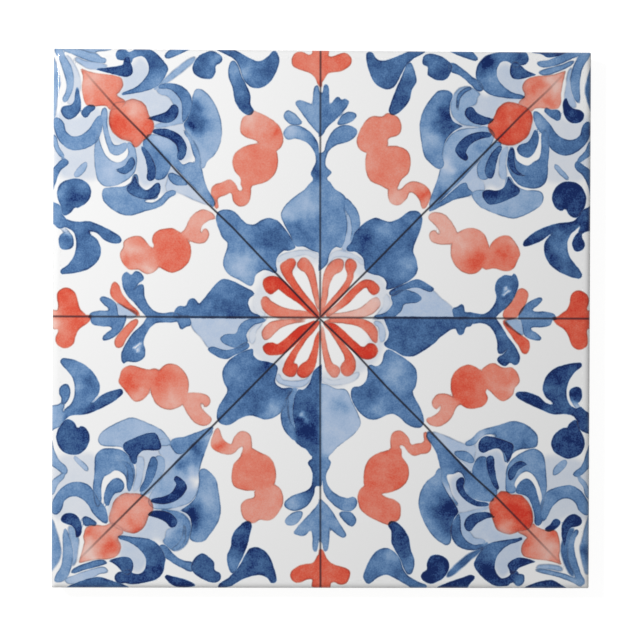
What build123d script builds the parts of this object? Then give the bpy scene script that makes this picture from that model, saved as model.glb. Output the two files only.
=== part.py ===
"""Talavera wall tile: one pressed, fired and glazed ceramic square with a cushion edge and a keyed back.

The tile lies on its back. The origin is the middle of the back, on the rib tops, +Z goes up through
the glazed face, and +X and +Y run along the edges.
"""

import os
from math import floor, radians, tan

from build123d import *

# Driving dimensions, in millimetres and degrees
tile_side = 108.0  # 4 1/4 in tile, from edge to edge
tile_thickness = 6.5  # from the rib tops of the back to the glazed face
plan_corner_radius = 0.5  # upright corners of the die, as seen from above
cushion_width = 1.3  # rounded arris of the glazed face, measured across the face
cushion_drop = 1.0  # the same arris, measured down the edge
land_height = 2.5  # upright band of the edge, which faces the grout joint
relief_draft = 7.0  # slope of the edge below the land, which lets the tile out of the die
back_bevel = 0.4  # small bevel between the edge and the back
key_pocket_side = 13.0  # mouth of one shallow pocket in the back, which the adhesive grips
key_pocket_corner = 1.5  # corner radius of that mouth
key_pocket_depth = 0.8  # from the rib tops to the pocket's floor
key_pocket_draft = 25.0  # slope of the pocket's walls
key_rib_width = 3.5  # rib between two pockets
key_border_least = 4.0  # least width of the plain border round the pockets

# Heights and half widths of the edge's section
half_side = tile_side / 2
land_top = tile_thickness - cushion_drop
land_foot = land_top - land_height
relief_run = (land_foot - back_bevel) * tan(radians(relief_draft))
bevel_top_half = half_side - relief_run
back_half = bevel_top_half - back_bevel

# As many pockets as the back has room for
key_pitch = key_pocket_side + key_rib_width
key_room = 2 * (back_half - key_border_least)
keys_per_row = floor((key_room + key_rib_width) / key_pitch)


def tile_section():
    """The tile cut through its middle: flat back, bevel, relief, upright land, cushion arris and flat face."""
    with BuildSketch(Plane.XZ) as section:
        with BuildLine():
            Polyline(
                (0, 0),
                (back_half, 0),
                (bevel_top_half, back_bevel),
                (half_side, land_foot),
                (half_side, land_top),
            )
            EllipticalCenterArc(
                (half_side - cushion_width, land_top), cushion_width, cushion_drop, arc_size=90
            )
            Line((half_side - cushion_width, tile_thickness), (0, tile_thickness))
            mirror(about=Plane.YZ)
        make_face()
    return section.sketch


def pressed_blank():
    """The section run along X and along Y: what both share has the same edge on all four sides."""
    along_y = extrude(tile_section(), amount=tile_side, both=True)
    along_x = along_y.rotate(Axis.Z, 90)
    die_outline = extrude(
        RectangleRounded(tile_side, tile_side, plan_corner_radius), amount=tile_thickness
    )
    return along_y & along_x & die_outline


def key_pockets():
    """The grid of shallow pockets pressed into the back, each narrowing towards its floor."""
    mouth = RectangleRounded(key_pocket_side, key_pocket_side, key_pocket_corner)
    pocket = extrude(mouth, amount=key_pocket_depth, taper=key_pocket_draft)
    return GridLocations(key_pitch, key_pitch, keys_per_row, keys_per_row) * pocket


def talavera_tile():
    """The whole tile as one solid."""
    return pressed_blank() - key_pockets()


os.makedirs("parts", exist_ok=True)
export_step(talavera_tile(), "parts/talavera_tile.step")
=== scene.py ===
"""Talavera wall tile: a pressed square of biscuit, glazed white and painted in cobalt blue and coral.

The tile lies on its back in the middle of the frame, with its glazed face up and +Y to the top of the
ornament. Sizes are in millimetres and angles in degrees, unless a name says otherwise, and meshes are in
metres. The painting is worked out as distances to the painted outlines, kept on the points of the face,
and the glaze's material turns those distances into colour.
"""

import logging
from dataclasses import dataclass, field
from enum import Enum
from functools import partial
from typing import Any, Callable, Iterator, Mapping

import bpy
import numpy as np
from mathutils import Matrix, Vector
from mathutils.geometry import tessellate_polygon
from numpy.typing import NDArray


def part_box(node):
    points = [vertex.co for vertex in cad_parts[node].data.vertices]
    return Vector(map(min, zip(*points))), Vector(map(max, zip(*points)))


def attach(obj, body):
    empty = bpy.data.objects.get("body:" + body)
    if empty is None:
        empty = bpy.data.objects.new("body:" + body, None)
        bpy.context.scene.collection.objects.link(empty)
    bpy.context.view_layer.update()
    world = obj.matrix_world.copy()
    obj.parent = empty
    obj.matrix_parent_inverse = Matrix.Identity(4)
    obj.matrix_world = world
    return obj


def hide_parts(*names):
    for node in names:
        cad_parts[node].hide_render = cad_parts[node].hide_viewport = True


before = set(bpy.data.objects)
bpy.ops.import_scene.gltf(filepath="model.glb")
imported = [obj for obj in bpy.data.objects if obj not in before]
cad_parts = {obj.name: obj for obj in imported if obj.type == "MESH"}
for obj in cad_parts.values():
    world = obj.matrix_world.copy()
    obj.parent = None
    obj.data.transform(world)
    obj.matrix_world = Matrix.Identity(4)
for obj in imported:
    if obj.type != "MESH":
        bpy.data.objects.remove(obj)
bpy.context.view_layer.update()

LOG = logging.getLogger("talavera_tile")
METRES = 0.001  # metres in a millimetre
NODE = "talavera_tile"
TENTH = 0.1  # millimetres in the unit of the ornament's outlines
TINY = 1e-9  # keeps logarithms and divisions finite
NOISE_SPAN = {1: 0.2, 2: 0.8}  # what the noise textures mostly stay between, as inputs of a MapRange node
WHITE = (1.0, 1.0, 1.0, 1.0)

Array = NDArray[np.float64]
Point = tuple[float, ...]
# Where colour settled thicker or thinner: the place and its reach, in tenths, and the change in load
PoolRow = tuple[int, int, int, float]
# A place of a stencil, and how far from there it lies where the stencil was laid again, in tenths
DriftRow = tuple[int, int, int, int]
# add_node for one node tree
AddNode = Callable[..., Any]


class Coat(Enum):
    """A layer of colour on the glaze. Neighbours with a narrow white gap lie in different layers."""

    FIELD = "field"
    WASH = "wash"
    LEAF = "leaf"
    PETAL = "petal"
    NAVY = "navy"
    CORAL = "coral"
    DAB = "dab"

    @property
    def attribute(self) -> str:
        """Name of the mesh attribute that holds the layer."""
        return f"coat_{self.value}"

    @property
    def is_blue(self) -> bool:
        """Whether the layer is cobalt, and not coral."""
        return self not in (Coat.CORAL, Coat.DAB)

    @property
    def softness(self) -> float:
        """Half the width over which the layer's edge fades into the glaze."""
        return {Coat.FIELD: 0.9, Coat.WASH: 0.28, Coat.CORAL: 0.2, Coat.DAB: 0.2}.get(self, 0.16)


@dataclass(frozen=True)
class Stroke:
    """One painted shape of a stencil.

    Attributes:
        name: What the shape is in the ornament.
        coat: The layer that it is painted in.
        load: How much colour it carries, from 0, bare glaze, to 1, the darkest.
        outline: Points of its closed outline, in tenths of a millimetre from the tile's side edge and from
            its top or bottom edge.
    """

    name: str
    coat: Coat
    load: float
    outline: tuple[Point, ...]


# Short names of the layers, for the stencils below
FIELD, WASH, LEAF, PETAL, NAVY, CORAL, DAB = Coat


def shape(name: str, coat: Coat, load: float, *outline: Point) -> Stroke:
    """A stroke, written in one row.

    Args:
        name: What the shape is in the ornament.
        coat: The layer that it is painted in.
        load: How much colour it carries.
        outline: The points of its outline, one argument each.

    Returns:
        The stroke.
    """
    return Stroke(name, coat, load, outline)


def tip(a: int, b: int) -> Point:
    """A sharp point of an outline.

    Args:
        a: Its place from the tile's side edge.
        b: Its place from the tile's top or bottom edge.

    Returns:
        The point, marked as sharp by a third number.
    """
    return (a, b, 1)


def closed_curve(outline: tuple[Point, ...], steps: int = 6) -> Array:
    """A smooth closed curve through the points of an outline.

    Between two points the curve is the cubic that leaves and arrives in the direction from the point before
    to the point after, as fast as the two points are apart. At a sharp point that speed is zero.

    Args:
        outline: The points in tenths of a millimetre, sharp ones made by tip().
        steps: Straight spans from one point to the next.

    Returns:
        The curve's points in millimetres, one row each.
    """
    points = TENTH * np.array([point[:2] for point in outline])
    sharp = np.array([len(point) > 2 for point in outline])[:, None]
    ahead = np.roll(points, -1, axis=0)
    across = ahead - np.roll(points, 1, axis=0)
    heading = np.where(sharp, 0.0, across / np.linalg.norm(across, axis=1, keepdims=True))
    reach = np.linalg.norm(ahead - points, axis=1, keepdims=True)
    leaving = (heading * reach)[:, None]
    arriving = (np.roll(heading, -1, axis=0) * reach)[:, None]
    t = np.arange(steps)[None, :, None] / steps
    curve = (
        (2 * t**3 - 3 * t**2 + 1) * points[:, None]
        + (t**3 - 2 * t**2 + t) * leaving
        + (3 * t**2 - 2 * t**3) * ahead[:, None]
        + (t**3 - t**2) * arriving
    )
    return curve.reshape(-1, 2)


def signed_distance(x: Array, y: Array, curve: Array) -> Array:
    """Distance from points to a closed curve, positive inside it.

    A point's distance is the shortest to any straight span of the curve, measured to the foot of the point
    on the span. The point is inside if a level line from it to the right meets an odd number of spans.

    Args:
        x: The points' x.
        y: The points' y.
        curve: The curve's points, one row each.

    Returns:
        The distances, as many as the points.
    """
    span = np.roll(curve, -1, axis=0) - curve
    to_x = x[:, None] - curve[:, 0]
    to_y = y[:, None] - curve[:, 1]
    foot = np.clip((to_x * span[:, 0] + to_y * span[:, 1]) / (span**2).sum(axis=1), 0.0, 1.0)
    gap = np.hypot(to_x - foot * span[:, 0], to_y - foot * span[:, 1]).min(axis=1)
    below = to_y < 0
    crosses = below != np.roll(below, -1, axis=1)
    rise = np.where(span[:, 1] == 0, 1.0, span[:, 1])
    meets = crosses & (to_x < span[:, 0] * to_y / rise)
    return np.where(meets.sum(axis=1) % 2 == 1, gap, -gap)


@dataclass(frozen=True)
class Quarter:
    """One quarter of the ornament: a stencil on its corner of the tile.

    Attributes:
        name: Which corner of the face it fills.
        side: Signs of x and y in that corner.
        stencil: The shapes of the stencil.
        redrawn: Shapes that take the place of the stencil's shapes of the same name, drawn where they lie.
        loads: Loads of this quarter that differ from the stencil's, by the stroke's name.
        pools: Where the colour pooled or ran thin, by the stroke's name, measured where it lies.
        drifts: How the stencil drifted here. Without any it lies as it was drawn.
        drift_ease: How freely a place may miss its shift, so that the stencil bends smoothly.
        long_wave: How far the longer sines shift a pool's outline.
        short_wave: How far the shorter ones do.
    """

    name: str
    side: tuple[int, int]
    stencil: tuple[Stroke, ...]
    redrawn: tuple[Stroke, ...] = ()
    loads: Mapping[str, float] = field(default_factory=dict)
    pools: Mapping[str, tuple[PoolRow, ...]] = field(default_factory=dict)
    drifts: tuple[DriftRow, ...] = ()
    drift_ease: float = 1.0
    long_wave: float = 0.4
    short_wave: float = 0.25

    def bend(self, points: Array) -> Array:
        """Moves points of the stencil to where they lie in this quarter.

        The move is a thin-plate spline: for each drift a term in the squared distance times its logarithm,
        and a plane, weighted so that the drifts are met with as little bending as can be.

        Args:
            points: The points, one row each.

        Returns:
            The moved points.
        """
        if not self.drifts:
            return points
        places, shifts = np.split(TENTH * np.array(self.drifts), 2, axis=1)

        def terms(at: Array) -> Array:
            """The spline's terms at points, one row each: those of the drifts, and those of the plane."""
            gap = ((at[:, None] - places) ** 2).sum(axis=2)
            return np.hstack([gap * np.log(gap + TINY), np.ones((len(at), 1)), at])

        count = len(places)
        system = np.zeros((count + 3, count + 3))
        system[:count] = terms(places)
        system[count:, :count] = system[:count, count:].T
        system[:count, :count] += self.drift_ease * np.eye(count)
        weights = np.linalg.solve(system, np.vstack([shifts, np.zeros((3, 2))]))
        return points + terms(points) @ weights

    def curves(self, half_side: float) -> Iterator[tuple[Stroke, Array]]:
        """Goes through the quarter's strokes.

        Args:
            half_side: Half the tile's side.

        Yields:
            A stroke and its smooth outline on the tile, measured from the tile's middle.
        """
        own = {stroke.name for stroke in self.redrawn}
        for stroke in self.stencil:
            if stroke.name not in own:
                yield stroke, np.array(self.side) * (half_side - self.bend(closed_curve(stroke.outline)))
        for stroke in self.redrawn:
            yield stroke, np.array(self.side) * (half_side - closed_curve(stroke.outline))

    def load_of(self, stroke: Stroke, x: Array, y: Array, half_side: float) -> Array:
        """How much colour a stroke carries at points: its own load and a bell curve for each of its pools.

        The points are first shifted by a few sines, so that no pool is round.

        Args:
            stroke: The stroke.
            x: The points' x on the tile.
            y: The points' y on the tile.
            half_side: Half the tile's side.

        Returns:
            The loads, as many as the points.
        """
        load = np.full(x.shape, self.loads.get(stroke.name, stroke.load))
        a, b = half_side - self.side[0] * x, half_side - self.side[1] * y
        wavy_a = a + self.long_wave * np.sin(1.3 * b + 0.5 * a) + self.short_wave * np.sin(2.9 * b + 1.0)
        wavy_b = b + self.long_wave * np.sin(1.1 * a - 0.6 * b + 2.0) + self.short_wave * np.sin(3.1 * a)
        for pool_a, pool_b, reach, change in self.pools.get(stroke.name, ()):
            gap = (wavy_a - TENTH * pool_a) ** 2 + (wavy_b - TENTH * pool_b) ** 2
            load += change * np.exp(-gap / (TENTH * reach) ** 2)
        return np.clip(load, 0.0, 1.0)


@dataclass(frozen=True)
class Ornament:
    """The painted ornament: four quarters and the thin lines that part them.

    Attributes:
        quarters: The four quarters.
        half_side: Half the tile's side.
        upright: Points of the line from the bottom edge to the top edge.
        level: Points of the line from the left edge to the right edge.
        falling: Points of the line from the top left corner to the bottom right one.
        rising: Points of the line from the bottom left corner to the top right one.
        margin: How far beyond an outline its distance is worked out.
        overlap: How far a quarter's colour reaches past the middle lines.
        blend: How quickly one stroke's load gives way to the next one's in the same layer.
        full_depth: How deep inside its outline a stroke weighs the most.
        straight_cover: How strongly the upright and the level line show.
        corner_fade: Places along a slanting line, measured from the middle, between which it fades out.
        corner_cover: How strongly it shows at those places.
    """

    quarters: tuple[Quarter, ...]
    half_side: float
    upright: tuple[Point, ...]
    level: tuple[Point, ...]
    falling: tuple[Point, ...]
    rising: tuple[Point, ...]
    margin: float = 2.4
    overlap: float = 0.2
    blend: float = 0.4
    full_depth: float = 1.5
    straight_cover: float = 0.88
    corner_fade: tuple[float, float, float] = (50.0, 60.0, 70.5)
    corner_cover: tuple[float, float, float] = (1.0, 0.75, 0.0)

    def coats(self, lines: Array) -> dict[Coat, Array]:
        """Works out every layer of colour on the square grid of the given lines.

        In a layer the distance at a point is the largest of its strokes' distances, and the load is the mean
        of their loads, each weighted by the exponential of its distance. A stroke ends at the middle lines,
        and the bluish fields end at the coral.

        Args:
            lines: Places of the grid's lines, the same along x and along y.

        Returns:
            For each layer the distance, the load and the softness, as an array of rows, columns and 3.
        """
        count = len(lines)
        upright, level = np.array(self.upright), np.array(self.level)
        distance = {coat: np.full((count, count), -self.margin) for coat in Coat}
        weights = {coat: np.full((count, count), TINY) for coat in Coat}
        loads = {coat: np.zeros((count, count)) for coat in Coat}
        for quarter in self.quarters:
            for stroke, curve in quarter.curves(self.half_side):
                low = np.searchsorted(lines, curve.min(axis=0) - self.margin)
                high = np.searchsorted(lines, curve.max(axis=0) + self.margin)
                window = np.s_[low[0]:high[0], low[1]:high[1]]
                x, y = np.meshgrid(lines[low[0]:high[0]], lines[low[1]:high[1]], indexing="ij")
                inside = signed_distance(x.ravel(), y.ravel(), curve).reshape(x.shape)
                beside = quarter.side[0] * (x - np.interp(y, upright[:, 1], upright[:, 0]))
                above = quarter.side[1] * (y - np.interp(x, level[:, 0], level[:, 1]))
                inside = np.minimum(inside, np.minimum(beside, above) + self.overlap)
                weight = np.exp(np.clip(inside, -self.margin, self.full_depth) / self.blend)
                layer = stroke.coat
                distance[layer][window] = np.maximum(distance[layer][window], inside)
                weights[layer][window] += weight
                loads[layer][window] += weight * quarter.load_of(stroke, x, y, self.half_side)
        for coral in (Coat.CORAL, Coat.DAB):
            distance[Coat.FIELD] = np.minimum(distance[Coat.FIELD], -distance[coral])
        return {
            coat: np.stack(
                [distance[coat], loads[coat] / weights[coat], np.full((count, count), coat.softness)], axis=2
            )
            for coat in Coat
        }

    def thin_lines(self, lines: Array) -> dict[str, Array]:
        """Works out the thin lines on the square grid of the given lines.

        The offset from a straight line is measured across it, less the line's own place there, which is
        interpolated along it. A slanting line is measured in axes turned by 45 degrees.

        Args:
            lines: Places of the grid's lines, the same along x and along y.

        Returns:
            By attribute name, two offsets and a strength, as an array of rows, columns and 3.
        """
        x, y = np.meshgrid(lines, lines, indexing="ij")
        upright, level = np.array(self.upright), np.array(self.level)
        falling = np.array(self.falling) @ (np.array([[1, 1], [-1, 1]]) / np.sqrt(2))
        rising = np.array(self.rising) @ (np.array([[1, -1], [1, 1]]) / np.sqrt(2))
        down, up = (x - y) / np.sqrt(2), (x + y) / np.sqrt(2)
        from_middle = np.maximum(np.abs(down), np.abs(up))
        strength = np.interp(from_middle, self.corner_fade, self.corner_cover)
        return {
            "lines_straight": np.stack(
                [
                    x - np.interp(y, upright[:, 1], upright[:, 0]),
                    y - np.interp(x, level[:, 0], level[:, 1]),
                    np.full_like(x, self.straight_cover),
                ],
                axis=2,
            ),
            "lines_slanting": np.stack(
                [
                    up - np.interp(down, falling[:, 0], falling[:, 1]),
                    -down - np.interp(up, rising[:, 0], rising[:, 1]),
                    strength,
                ],
                axis=2,
            ),
        }


# The stencil of the top left and bottom right quarters
STENCIL_A: tuple[Stroke, ...] = (
    # Bluish fields behind the scrolls, the fan and the flower
    shape("scroll field", FIELD, 0.16, (5, 134), (46, 140), (92, 122), (94, 190), (88, 256), (56, 262),
        (14, 252), (3, 200)),
    shape("fan field", FIELD, 0.19, (138, 56), (160, 32), (176, 20), (196, 46), (206, 84), (240, 78),
        (266, 96), (272, 134), (270, 176), (276, 216), (252, 234), (250, 284), (222, 290), (206, 270),
        (180, 274), (164, 236), (156, 196), (118, 184), (108, 138), (128, 104)),
    shape("flower field", FIELD, 0.1, (546, 394), (490, 402), (442, 432), (410, 478), (394, 546), (422, 546),
        (434, 496), (460, 458), (498, 432), (546, 422)),
    # Leaves that spread from the tile's corner
    shape("side edge leaf", WASH, 0.44, (-5, 20), (2, 22), (14, 69), (10, 87), (3, 140), (-5, 140)),
    shape("side leaf", LEAF, 0.5, (3, 1), (13, 22), (28, 71), (25, 92), (20, 102), (24, 108), (31, 101),
        (39, 82), (41, 60), (35, 35), (24, 18), (15, 1)),
    shape("pale side leaf", WASH, 0.18, (26, 17), (40, 29), (55, 70), (42, 110), (30, 109), (36, 90),
        (41, 70), (39, 46)),
    shape("edge leaf", NAVY, 0.46, (46, -4), (54, 2), (83, 9), (87, 6), (114, 2), (114, -4)),
    shape("upper leaf", LEAF, 0.48, (20, 1), (38, 11), (72, 25), (103, 29), (105, 22), (96, 19), (87, 12),
        (70, 8), (54, 2), (36, 1)),
    shape("pale upper leaf", WASH, 0.36, (45, 21), (62, 25), (106, 34), (102, 40), (73, 41), (59, 34)),
    # Scroll along the top edge
    shape("scroll arm", LEAF, 0.72, (149, 10), (158, 6), (164, 1), (193, 2), (224, 31), (228, 44), (206, 76),
        (139, 93), (138, 90), (170, 75), (192, 44), (181, 16), (160, 19), (154, 29), (142, 26)),
    shape("scroll head", LEAF, 0.8, (126, 13), (130, 4), (141, 1), (152, 18), (131, 22)),
    shape("scroll curl", NAVY, 0.92, tip(84, 41), (139, 34), (144, 18), (152, 18), (154, 29), (158, 42),
        (156, 52), (143, 56)),
    shape("top edge leaf", LEAF, 0.66, (224, 14), (234, 2), (246, -3), (272, -3), (266, 3), (229, 19)),
    shape("upper ball stalk", WASH, 0.48, (282, 17), (256, 32), (214, 69), (202, 81), (216, 74), (236, 62),
        (280, 26)),
    shape("upper ball", PETAL, 0.8, (286, 21), (313, 5), (328, 9), (337, 20), (332, 28), (324, 32),
        (323, 47), (313, 59), (282, 48)),
    # Fan of petals that opens from the corner dab
    shape("horn", LEAF, 0.68, (212, 74), (228, 70), (250, 73), (268, 85), (277, 104), (275, 122), (266, 140),
        (260, 146), (257, 108), (246, 90), (230, 80), (212, 79)),
    shape("horn lining", WASH, 0.42, (208, 81), (230, 77), (253, 92), (264, 116), (266, 144), (248, 151),
        (224, 156), (204, 156), (216, 149), (240, 144), (250, 126), (241, 111), (229, 95), (214, 91)),
    shape("horn crescent", NAVY, 0.87, tip(189, 139), (222, 129), (233, 120), (240, 112), (248, 116),
        (250, 128), (242, 142), (226, 148)),
    shape("side petal", PETAL, 0.46, (262, 153), (270, 138), (277, 116), (280, 94), (286, 82), (296, 82),
        (312, 95), (327, 120), (336, 152), (335, 182), (324, 209), (308, 224), (301, 238), (294, 236),
        (295, 218), (286, 194)),
    shape("blade", LEAF, 0.54, (188, 176), (206, 173), (228, 178), (246, 190), (250, 206), (249, 218),
        (260, 232), (272, 228), (285, 226), (280, 206), (273, 184), (262, 164), (272, 172), (287, 194),
        (295, 216), (296, 234), (306, 275), (324, 308), tip(320, 316), (204, 194)),
    shape("outer crescent", NAVY, 0.87, (200, 165), (216, 161), (236, 164), (256, 176), (266, 194),
        (265, 211), (256, 222), (249, 218), (250, 204), (246, 191), (230, 179), (210, 172)),
    shape("under petal", LEAF, 0.66, (183, 182), (194, 185), (214, 207), (234, 229), (225, 256), (212, 262),
        (204, 258), (205, 240), (196, 218), (182, 198)),
    shape("inner crescent", NAVY, 0.84, (178, 197), (189, 205), (201, 226), (206, 246), (202, 261),
        (190, 262), (190, 242), (185, 218)),
    shape("short petal", PETAL, 0.62, (231, 252), (242, 250), (269, 269), (252, 273), (239, 268)),
    shape("blade underside", WASH, 0.25, (233, 242), (244, 244), (286, 282), (312, 309), (294, 306),
        (246, 286), (230, 286), (226, 276), (230, 260)),
    # Cup and shell below the corner dab
    shape("left scroll", PETAL, 0.6, (1, 143), (10, 140), (21, 150), (26, 167), (39, 177), (56, 175),
        (73, 162), (93, 135), (98, 148), (95, 170), (83, 191), (46, 204), (24, 196), (8, 175)),
    shape("cup", LEAF, 0.46, (96, 156), (92, 176), (97, 198), (110, 220), (129, 229), (145, 222), (152, 208),
        (148, 192), (154, 189), (165, 203), (165, 242), (148, 262), (124, 274), (102, 274), (89, 258),
        (84, 198)),
    shape("bowl", PETAL, 0.49, (98, 125), (104, 120), (108, 128), (108, 154), (120, 192), (132, 194),
        (144, 189), (149, 194), (140, 208), (127, 213), (114, 206), (97, 142)),
    shape("cup crescent", NAVY, 0.77, tip(126, 243), (144, 235), (157, 218), (164, 228), (157, 243),
        (142, 251)),
    shape("shell", PETAL, 0.58, (101, 284), (116, 279), (142, 277), (156, 269), (166, 252), (172, 272),
        (186, 284), (206, 286), (208, 298), (184, 304), (200, 309), (216, 300), (230, 286), (246, 287),
        (232, 298), (216, 314), (186, 324), (146, 333), (106, 309)),
    shape("shell heart", NAVY, 0.82, (148, 282), (158, 268), tip(165, 252), (171, 272), (184, 284),
        (196, 280), (210, 269), (215, 278), (209, 294), (192, 301), (168, 297)),
    shape("corner drop", NAVY, 0.76, (48, 78), (40, 112), (21, 118), (17, 125), (22, 136), (33, 142),
        (46, 135), (55, 120), (51, 86)),
    shape("corner bean", NAVY, 0.84, (58, 130), (66, 118), (78, 114), (84, 119), (75, 128), (66, 138)),
    shape("side edge slip", LEAF, 0.5, (2, 174), (12, 198), (23, 219), (12, 213), (2, 194)),
    shape("side edge blade", LEAF, 0.7, (-5, 249), (8, 234), (23, 222), (31, 230), (15, 245), (-1, 284),
        (-5, 284)),
    shape("floating leaf", LEAF, 0.44, (43, 253), (52, 239), (66, 228), (68, 237), (58, 252), (47, 258)),
    shape("side ball", PETAL, 0.78, (10, 292), (16, 273), (32, 264), (52, 262), (70, 272), (76, 288),
        (70, 305), (52, 318), (44, 318), (36, 328), (22, 333), (18, 318)),
    # Leaf groups that hang from the edges
    shape("side leaf root", LEAF, 0.67, (-5, 310), (8, 312), (19, 320), (20, 336), (29, 350), (16, 360),
        (4, 352), (-5, 346)),
    shape("side spear", LEAF, 0.77, (16, 332), (28, 343), (50, 348), (76, 348), (126, 371), (137, 385),
        (122, 389), (104, 382), (86, 367), (40, 362), (24, 354)),
    shape("bell", LEAF, 0.76, (30, 350), (44, 369), (49, 388), (45, 414), (32, 434), (18, 445), (21, 451),
        (66, 443), (88, 427), (96, 406), (89, 384), (76, 373), (68, 356)),
    shape("clapper", PETAL, 0.73, (17, 374), (35, 370), (41, 395), (28, 402), (16, 397)),
    shape("clapper stem", PETAL, 0.06, (6, 352), (18, 362), (28, 372), (36, 374), (28, 362), (16, 352)),
    shape("wing", LEAF, 0.77, (328, -3), (344, 9), (363, 20), (374, 38), (380, 58), (392, 72), (408, 77),
        (428, 69), (442, 50), (451, 22), (447, 8), (441, 3), (430, 15), (416, 24), (404, 24), (364, 3),
        (356, -3)),
    shape("top spear", PETAL, 0.77, (359, 24), (368, 33), (376, 54), (392, 88), (394, 112), (400, 124),
        (392, 131), (378, 124), (365, 104), (360, 78), (352, 56), (352, 36)),
    # Coral dabs
    shape("upper corner dab", CORAL, 0.6, tip(56, 42), (80, 50), (132, 58), (139, 72), (132, 87), (126, 93),
        (144, 110), (116, 122), (106, 114), (70, 114), (61, 96), (59, 74), (61, 58)),
    shape("corner ball", DAB, 0.66, (113, 144), (122, 112), (144, 107), (160, 102), (182, 112), (191, 134),
        (201, 151), (196, 170), (180, 184), (165, 197), (156, 186), (136, 180), (119, 165)),
    shape("upper pair, small", CORAL, 0.56, (380, 138), (394, 130), (402, 124), (447, 149), (459, 175),
        (455, 195), (438, 204), (418, 194), (406, 182), (386, 175), (376, 165)),
    shape("upper pair, large", CORAL, 0.62, (360, 226), (366, 208), (388, 194), (416, 190), (442, 198),
        (449, 222), (443, 248), (426, 264), (400, 272), (392, 278), (379, 276), (376, 258), (364, 242)),
    shape("upper pair, hook", CORAL, 0.58, (379, 270), (380, 282), (372, 284), (364, 270), (353, 262),
        (338, 268), (322, 274), (317, 289), (324, 302), (325, 316), (330, 318), (330, 298), (346, 291),
        (357, 287), (362, 304), (374, 314), (389, 308), (395, 290), (392, 272)),
    shape("lower pair, small", CORAL, 0.58, (136, 414), (143, 397), (144, 386), (158, 378), (176, 377),
        (194, 396), (208, 406), (214, 430), (206, 443), (190, 450), (172, 441), (152, 440)),
    shape("lower pair, large", CORAL, 0.7, (200, 382), (207, 368), (226, 361), (244, 362), (269, 382),
        (276, 404), (271, 426), (254, 442), (234, 446), (202, 424), (199, 404), (204, 394)),
    shape("lower pair, hook", CORAL, 0.46, (256, 373), (265, 362), (276, 339), (292, 325), (306, 323),
        (324, 337), (312, 342), (298, 354), (297, 368), (305, 360), (312, 372), (304, 386), (288, 388),
        (269, 380)),
    shape("top bud", CORAL, 0.66, (478, 20), (484, 8), (496, 5), (510, 11), (518, 9), (521, -3), (550, -3),
        (550, 64), (535, 74), (526, 58), (516, 47), (481, 33)),
    shape("side bud", CORAL, 0.78, (12, 490), (28, 480), (44, 489), (55, 522), (66, 534), (68, 550),
        (-5, 550), (-5, 526), (12, 524)),
    shape("side leaf drop", CORAL, 0.7, (126, 468), (139, 491), (154, 510), (174, 533), (158, 525),
        (122, 500), (117, 484)),
    # Buds on the middle lines
    shape("top bud leaf", LEAF, 0.57, (486, 106), (494, 102), tip(520, 112), (521, 90), (527, 72), (533, 86),
        (550, 94), (550, 166), (534, 169), (489, 114)),
    shape("top bud oval", LEAF, 0.58, (462, 132), (472, 123), (497, 145), (492, 150), (474, 148)),
    shape("top bud arch", PETAL, 0.66, (462, 166), (474, 153), (494, 154), (516, 168), (529, 188),
        (534, 216), (550, 224), (550, 270), (520, 268), (522, 258), (517, 249), (527, 224), (523, 203),
        (508, 185), (484, 177), (469, 179)),
    shape("side bud leaf", LEAF, 0.71, (140, 462), (147, 448), (158, 454), (168, 446), (182, 459),
        (171, 470), tip(162, 484), (174, 473), (181, 474), (184, 498), (198, 521), (216, 530), (250, 530),
        (250, 550), (204, 550), (182, 528), (164, 507), (148, 490)),
    shape("side bud slip", PETAL, 0.62, (97, 499), (112, 500), (126, 510), (130, 526), (132, 550), (77, 550),
        (76, 532), (94, 526), (114, 523), (103, 511)),
    shape("side bud wedge", WASH, 0.3, (128, 512), (146, 518), (168, 534), (130, 534)),
    # Flower in the middle
    shape("middle petal", PETAL, 0.62, (521, 264), (504, 281), (480, 299), (463, 317), (458, 334),
        (476, 372), (486, 392), (504, 394), (526, 404), (550, 402), (550, 260)),
    shape("slanting petal", LEAF, 0.66, (329, 330), (358, 324), (386, 349), (403, 352), (418, 343),
        (433, 339), (452, 346), (485, 394), (474, 402), (462, 402), (449, 415), (446, 430), (447, 446),
        (432, 442), (422, 441), (406, 451), (402, 466), (396, 473), (376, 462), (352, 449), (342, 428),
        (351, 390), (339, 374)),
    shape("cross petal", PETAL, 0.73, (245, 526), (254, 516), (268, 516), (273, 504), (281, 500), (288, 505),
        (294, 511), (326, 473), (344, 461), (388, 479), (403, 490), (394, 497), (391, 510), (399, 527),
        (415, 535), (415, 550), (245, 550)),
    shape("first loop", CORAL, 0.78, (456, 435), (466, 424), (480, 419), (486, 428), (479, 444), (483, 458),
        (502, 486), (522, 510), (534, 532), (526, 530), (472, 466)),
    shape("second loop", DAB, 0.64, (490, 430), (503, 417), (518, 431), (525, 450), (535, 522), (529, 514),
        (515, 464), (506, 446), (496, 440)),
    shape("third loop", DAB, 0.95, (422, 465), (432, 456), (448, 456), (466, 467), (516, 518), (534, 536),
        (516, 528), (494, 508), (468, 491), (452, 479), (446, 484), (436, 489), (426, 481)),
    shape("fourth loop", CORAL, 0.62, (418, 506), (425, 495), (438, 505), (458, 516), (482, 522), (508, 525),
        (530, 534), (480, 537), (440, 534), (424, 523)),
    shape("upper ring shade", WASH, 0.16, (450, 424), (464, 409), (508, 402), (530, 410), (528, 418),
        (506, 411), (466, 420)),
    shape("side ring shade", WASH, 0.06, (404, 496), (412, 492), (416, 522), (426, 533), (414, 533),
        (404, 520)),
)

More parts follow.
